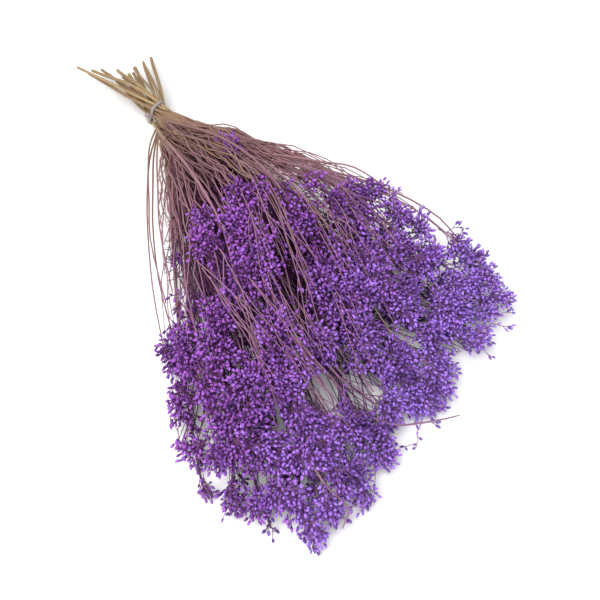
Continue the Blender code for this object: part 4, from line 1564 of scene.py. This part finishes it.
def stem_material(looks):
    material, nodes, shader = new_material("dried stem")
    place, ahead, aside = out_from_neck(nodes)
    dye = nodes.attribute("dye")
    tint = nodes.attribute("tint")
    along = nodes.attribute("along")
    ring = nodes.attribute("ring", "Vector")
    streaks = nodes.add("CombineXYZ", {"X": along * STREAKS_ALONG, "Z": tint * STREAKS_APART})
    streaks = nodes.add("VectorMath", {0: ring, 1: streaks}, operation="ADD")
    grain = nodes.add("TexNoise", {"Vector": streaks, "Scale": GRAIN_SCALE, "Detail": 3.0})
    blotch = nodes.add("TexNoise", {"Vector": place, "Scale": STEM_BLOTCH_SCALE, "Detail": 2.0})
    dyed = smooth_step(ahead + (blotch - 0.5) * DYED_STRAY + tint * DYED_STRAY, *DYED_FROM)
    dyed = dyed * dye.math("MINIMUM", 1.0)
    straw = nodes.mix(tint, looks.straw, looks.old_straw)
    mauve = nodes.mix(tint, looks.mauve, looks.brown_mauve)
    deep = smooth_step(ahead + (blotch - 0.5) * DEEP_STRAY, *DEEP_FROM)
    cool = smooth_step(ahead + aside * COOL_ASIDE, *COOL_FROM)
    twig = nodes.mix(cool, looks.twig, looks.cool_twig)
    # The painted shade colour for stems and twigs, bluer towards the far right
    inner = nodes.mix(cool, looks.inner, looks.cool_painted_stem_shade)
    purple = nodes.mix(cool * PURPLE_COOL_SHARE, looks.purple, twig)
    mauve = nodes.mix(deep * DEEP_SHARE, mauve, purple)
    body = nodes.mix(dyed, straw, mauve)
    violet = smooth_step(dye, 1.0, 2.0)
    body = nodes.mix(violet, body, twig)
    dark = smooth_step(grain, *DARK_FROM)
    body = nodes.mix(dark * DARK_SHARE, body, looks.shade)
    # Painted shade: dyed stems and twigs deep in the head are darkened towards the shade colour
    body = nodes.mix(nodes.attribute("inside") * dyed * PAINTED_STEM_SHADE_SHARE, body, inner)
    pith = 1 - smooth_step(along, *PITH_DEPTHS)
    body = nodes.mix(pith * (1 - dyed) * PITH_SHARE, body, looks.pith)
    dress(nodes, shader, body, STEM_ROUGH[0] + grain * STEM_ROUGH[1], grain, STEM_RELIEF)
    shader.inputs["Specular IOR Level"].default_value = DRY_SHINE
    return material


def bud_material(looks):
    material, nodes, shader = new_material("dyed bud")
    place, ahead, aside = out_from_neck(nodes)
    rise = nodes.attribute("rise")
    tint = nodes.attribute("tint")
    blotch = nodes.add("TexNoise", {"Vector": place, "Scale": BUD_BLOTCH_SCALE, "Detail": 2.0})
    cool = smooth_step(ahead + aside * COOL_ASIDE, *COOL_FROM)
    cool = (cool * BUD_COOL_SHARE + (tint - 0.5) * BUD_COOL_STRAY).math("MAXIMUM", 0.0, clamp=True)
    low = nodes.mix(cool, looks.bud_base, looks.cool_base)
    middle = nodes.mix(cool, looks.bud_middle, looks.cool_middle)
    tip = nodes.mix(cool, looks.bud_tip, looks.cool_tip)
    level = rise + (blotch - 0.5) * LEVEL_STRAY
    body = nodes.mix(smooth_step(level, *MIDDLE_FROM), low, middle)
    body = nodes.mix(smooth_step(level, *TIP_FROM), body, tip)
    dull = smooth_step((tint * DULL_TURNS).math("FRACT"), *DULL_FROM)
    body = nodes.mix(dull * DULL_SHARE, body, low)
    cloud = nodes.add("TexNoise", {"Vector": place, "Scale": CLOUD_SCALE, "Detail": 2.0})
    body = nodes.mix(smooth_step(cloud, *CLOUD_FROM) * CLOUD_SHARE, body, low)
    # Painted shade: buds deep in the head are darkened towards the colour of a bud's foot
    body = nodes.mix(nodes.attribute("inside") * PAINTED_BUD_SHADE_SHARE, body, low)
    fine = nodes.add("TexNoise", {"Vector": place, "Scale": FINE_SCALE, "Detail": 1.0})
    dress(nodes, shader, body, BUD_ROUGH[0] + blotch * BUD_ROUGH[1], fine, BUD_RELIEF)
    shader.inputs["Sheen Weight"].default_value = looks.sheen
    shader.inputs["Specular IOR Level"].default_value = DRY_SHINE
    return material


def tie_material(looks):
    material, nodes, shader = new_material("elastic tie")
    place = nodes.add("TexCoord").out("Object")
    cloud = nodes.add("TexNoise", {"Vector": place, "Scale": TIE_CLOUD_SCALE, "Detail": 2.0})
    body = nodes.mix(cloud, looks.colour, looks.shade)
    dress(nodes, shader, body, TIE_ROUGH[0] + cloud * TIE_ROUGH[1], cloud, TIE_RELIEF)
    shader.inputs["Transmission Weight"].default_value = looks.clear
    shader.inputs["IOR"].default_value = TIE_IOR
    return material


def floor_material(looks):
    material, nodes, shader = new_material("pale floor")
    place = nodes.add("TexCoord").out("Object")
    grain = nodes.add("TexNoise", {"Vector": place, "Scale": FLOOR_GRAIN_SCALE, "Detail": 2.0})
    body = nodes.mix(grain * FLOOR_GRAIN_SHARE, looks.floor, FLOOR_CLOUD)
    nodes.fill(shader.inputs["Base Color"], body)
    shader.inputs["Roughness"].default_value = FLOOR_ROUGH
    return material


# The tie

def slanted_crossings(stems, along):
    """Where the stems cross a slanted plane across the neck, as Y and Z from it, and their room there."""
    normal = unit(np.array((1.0, BAND_SLANT, 0.0)))
    tail, head = CROSSING_SPAN
    back = np.linspace(tail, 0, CROSSING_STEPS)[:-1]
    ahead = np.linspace(0, head, CROSSING_STEPS)
    places = []
    rooms = []
    for stem in stems:
        points = np.concatenate([stem.behind(back), stem.front(ahead)]) - NECK
        passed = points[:, 0] + BAND_SLANT * points[:, 1] - BAND_AT - along * math.hypot(1, BAND_SLANT)
        k = int(np.argmax(passed > 0))
        share = -passed[k - 1] / (passed[k] - passed[k - 1])
        step = points[k] - points[k - 1]
        places.append((points[k - 1] + share * step)[1:])
        rooms.append(stem.radius / (unit(step) @ normal) + BAND_RADIUS)
    return np.array(places), np.array(rooms)


def band_point(stems, along, angle):
    """The middle of the band where it faces this way, pulled tight round the stems."""
    outward = np.array((math.cos(angle), math.sin(angle)))
    places, rooms = slanted_crossings(stems, along)
    far = places @ outward + rooms
    k = int(far.argmax())
    y, z = places[k] + rooms[k] * outward
    x = BAND_AT + along * math.hypot(1, BAND_SLANT) - BAND_SLANT * y
    return NECK + np.array((x, y, z))


def tie_lines(stems, turns):
    """The band's turns, its knot and its two short ends."""
    start = math.radians(KNOT_ANGLE)
    steps = int(turns * TURN_STEPS)
    wound = []
    for k in range(steps + 1):
        share = k / steps
        wound.append(band_point(stems, BAND_HALF * (2 * share - 1), start + 2 * math.pi * turns * share))
    axis = unit(np.array((1.0, BAND_SLANT, 0.0)))
    outward = np.array((0.0, math.cos(start), math.sin(start)))
    turned = np.cross(axis, outward)
    centre = band_point(stems, 0.0, start) + outward * KNOT_OUT
    t = np.linspace(0, 2 * math.pi, KNOT_STEPS)
    loops = np.stack([
        np.sin(t) + 2 * np.sin(2 * t),
        np.cos(t) - 2 * np.cos(2 * t),
        -np.sin(3 * t),
    ], -1) / 3 * KNOT_SIZE
    knot = centre + loops @ np.array((axis, turned, outward))
    lines = [
        Line(smoothed(np.array(wound)), BAND_RADIUS, 0.0, 0.2, 0),
        Line(knot, KNOT_RADIUS, 0.0, 0.5, 0),
    ]
    for way, lift in KNOT_END_WAYS:
        heading = unit(outward + axis * way + turned * lift)
        end_way = unit(axis * way - UP * 0.8)
        points = bowed(centre, heading, centre + KNOT_END_LENGTH * unit(heading + end_way), end_way, 6)
        lines.append(Line(points, np.linspace(*KNOT_END_RADII, 7), 0.0, 0.8, 0))
    return [line._replace(radii=np.broadcast_to(line.radii, len(line.points))) for line in lines]


def smoothed(points):
    """A line with its sharpest corners rounded off."""
    for _ in range(2):
        middle = 0.25 * points[:-2] + 0.5 * points[1:-1] + 0.25 * points[2:]
        points = np.concatenate([points[:1], middle, points[-1:]])
    return points


# The add-on

def colour_property(name, description, default):
    return FloatVectorProperty(
        name=name, description=description, default=default, subtype="COLOR", size=3, min=0.0, max=1.0
    )


class BloomStemLooks(PropertyGroup):
    thickness: FloatProperty(
        name="Thickness", description="Scales every stem and twig", default=1.0, min=0.5, max=2.0
    )
    straw: colour_property("Straw", "The undyed cut ends", (0.39, 0.28, 0.145))
    old_straw: colour_property("Old straw", "The darker of the undyed ends", (0.28, 0.185, 0.10))
    mauve: colour_property("Mauve", "The dyed stems", (0.33, 0.172, 0.200))
    brown_mauve: colour_property("Brown mauve", "The browner of the dyed stems", (0.24, 0.13, 0.12))
    purple: colour_property("Purple", "The dyed stems inside the head", (0.30, 0.150, 0.26))
    twig: colour_property("Twig", "The finest twigs", (0.085, 0.006, 0.095))
    shade: colour_property("Shade", "The dark streaks of the stems", (0.09, 0.03, 0.06))
    # Painted shade: the colour that the dyed stems and twigs deep in the head are darkened towards
    inner: colour_property("Inner", "The stems and twigs deep in the head", (0.060, 0.003, 0.060))
    cool_twig: colour_property("Cool twig", "The twigs at the far right of the bunch", (0.22, 0.10, 0.34))
    # Painted shade: the same colour at the far right of the bunch
    cool_painted_stem_shade: colour_property("Cool inner", "Such twigs deep in the head", (0.070, 0.012, 0.13))
    pith: colour_property("Pith", "The cut faces of the stems", (0.62, 0.52, 0.36))


class BloomBudLooks(PropertyGroup):
    size: FloatProperty(name="Size", description="Scales every bud", default=1.0, min=0.5, max=2.0)
    bud_base: colour_property("Base", "The foot of a bud", (0.016, 0.0004, 0.022))
    bud_middle: colour_property("Middle", "The belly of a bud", (0.062, 0.0022, 0.110))
    bud_tip: colour_property("Tip", "The tip of a bud", (0.32, 0.095, 0.47))
    cool_base: colour_property("Cool base", "The foot of a bud at the far right", (0.036, 0.004, 0.085))
    cool_middle: colour_property("Cool middle", "The belly of such a bud", (0.130, 0.024, 0.40))
    cool_tip: colour_property("Cool tip", "The tip of such a bud", (0.39, 0.23, 0.82))
    sheen: FloatProperty(
        name="Sheen", description="The soft shine of the buds", default=0.03, min=0.0, max=1.0
    )


class BloomTieLooks(PropertyGroup):
    turns: FloatProperty(
        name="Turns", description="How often the band goes round", default=3.0, min=1.0, max=6.0
    )
    colour: colour_property("Colour", "The band", (0.66, 0.60, 0.58))
    shade: colour_property("Shade", "The band's darker clouds", (0.50, 0.42, 0.42))
    clear: FloatProperty(
        name="Clearness", description="How see-through it is", default=0.60, min=0.0, max=1.0
    )


class BloomStageLooks(PropertyGroup):
    floor: colour_property("Floor", "The floor", (0.90, 0.90, 0.90))
    sky: FloatProperty(
        name="Sky", description="The strength of the light from all round", default=0.55, min=0.0
    )
    key: FloatProperty(
        name="Key light", description="The power of the large lamp", default=32.0, min=0.0, unit="POWER"
    )


class BLOOM_OT_stems(Operator):
    """Grow the stems, branches and twigs"""

    bl_idname = "bloom.stems"
    bl_label = "Grow Stems"

    def execute(self, context):
        looks = context.scene.bloom_stems
        tree = build_tube_tree()
        material = stem_material(looks)
        for growth in grown():
            name = f"{growth.stem.name}_twigs"
            turn = math.radians(growth.stem.turn)
            main = growth.lines[0].points
            side, rise = across(unit(main[1] - main[0]))
            cut = CUT_SLANT * (side * math.sin(turn) + rise * math.cos(turn))
            mesh = line_mesh(name, growth.lines, [(0, cut)])
            obj = run_tree(name, mesh, tree, {"Thickness": looks.thickness, "Material": material})
            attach(obj, "root")
            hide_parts(growth.stem.name)
        return {"FINISHED"}


class BLOOM_OT_buds(Operator):
    """Put the buds on the twigs"""

    bl_idname = "bloom.buds"
    bl_label = "Place Buds"

    def execute(self, context):
        looks = context.scene.bloom_buds
        tree = build_bud_tree()
        material = bud_material(looks)
        for growth in grown():
            name = f"{growth.stem.name}_buds"
            mesh = bud_mesh(name, growth.buds, random.Random(SEED * 2000 + growth.stem.number))
            obj = run_tree(name, mesh, tree, {"Size": looks.size, "Material": material})
            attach(obj, "root")
            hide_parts(growth.stem.name)
        return {"FINISHED"}


class BLOOM_OT_tie(Operator):
    """Wind the elastic tie round the neck"""

    bl_idname = "bloom.tie"
    bl_label = "Wind Tie"

    def execute(self, context):
        looks = context.scene.bloom_tie
        lines = tie_lines([growth.stem for growth in grown()], looks.turns)
        mesh = line_mesh("tie_band", lines)
        obj = run_tree("tie_band", mesh, build_tube_tree(), {"Material": tie_material(looks)})
        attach(obj, "root")
        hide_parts("tie")
        return {"FINISHED"}


class BLOOM_OT_stage(Operator):
    """Lay the floor, light it and set up the camera"""

    bl_idname = "bloom.stage"
    bl_label = "Set Stage"

    def execute(self, context):
        looks = context.scene.bloom_stage
        scene = context.scene
        floor = bpy.data.meshes.new("floor")
        s = FLOOR_SIZE
        floor.from_pydata([(-s, -s, 0), (s, -s, 0), (s, s, 0), (-s, s, 0)], [], [(0, 1, 2, 3)])
        floor.materials.append(floor_material(looks))
        obj = bpy.data.objects.new("floor", floor)
        scene.collection.objects.link(obj)
        scene.world = bpy.data.worlds.new("soft sky")
        scene.world.use_nodes = True
        sky = scene.world.node_tree.nodes["Background"]
        sky.inputs["Color"].default_value = (1.0, 1.0, 1.0, 1.0)
        sky.inputs["Strength"].default_value = looks.sky
        lamp = bpy.data.lights.new("key", "AREA")
        lamp.shape = "DISK"
        lamp.size = KEY_SIZE
        lamp.energy = looks.key
        key = bpy.data.objects.new("key", lamp)
        key.matrix_world = looking(KEY_PLACE, HEAD_MIDDLE)
        scene.collection.objects.link(key)
        view = bpy.data.cameras.new("camera")
        view.lens = view.sensor_width / 2 / math.tan(math.radians(CAMERA_FIELD / 2))
        camera = bpy.data.objects.new("camera", view)
        camera.matrix_world = camera_matrix()
        scene.collection.objects.link(camera)
        scene.camera = camera
        scene.view_settings.view_transform = "Standard"
        return {"FINISHED"}


def looking(place, target):
    """The matrix of a lamp that stands at a place and looks at a target."""
    turn = (Vector(target) - Vector(place)).to_track_quat("-Z", "Y")
    return Matrix.Translation(place) @ turn.to_matrix().to_4x4()


def camera_matrix():
    """The camera's place and turn: level from side to side, and looking down at the photograph's angle."""
    eye, right, up, back = camera_axes()
    matrix = Matrix((right, up, back)).transposed().to_4x4()
    matrix.translation = eye
    return matrix


class BLOOM_PT_panel(Panel):
    bl_idname = "BLOOM_PT_panel"
    bl_label = "Broom Bloom"
    bl_space_type = "VIEW_3D"
    bl_region_type = "UI"
    bl_category = "Broom Bloom"

    def draw(self, context):
        for operator, settings in STEPS:
            box = self.layout.box()
            box.operator(operator.bl_idname)
            group = getattr(context.scene, settings)
            for name in group.__annotations__:
                box.prop(group, name)


STEPS = (
    (BLOOM_OT_stems, "bloom_stems"),
    (BLOOM_OT_buds, "bloom_buds"),
    (BLOOM_OT_tie, "bloom_tie"),
    (BLOOM_OT_stage, "bloom_stage"),
)
SETTINGS = {
    "bloom_stems": BloomStemLooks,
    "bloom_buds": BloomBudLooks,
    "bloom_tie": BloomTieLooks,
    "bloom_stage": BloomStageLooks,
}
CLASSES = (*SETTINGS.values(), *(operator for operator, _ in STEPS), BLOOM_PT_panel)


def register():
    for cls in CLASSES:
        bpy.utils.register_class(cls)
    for name, group in SETTINGS.items():
        setattr(bpy.types.Scene, name, PointerProperty(type=group))


def unregister():
    for name in SETTINGS:
        delattr(bpy.types.Scene, name)
    for cls in reversed(CLASSES):
        bpy.utils.unregister_class(cls)


def main():
    register()
    bpy.ops.bloom.stems()
    bpy.ops.bloom.buds()
    bpy.ops.bloom.tie()
    bpy.ops.bloom.stage()
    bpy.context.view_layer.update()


if __name__ == "__main__":
    main()
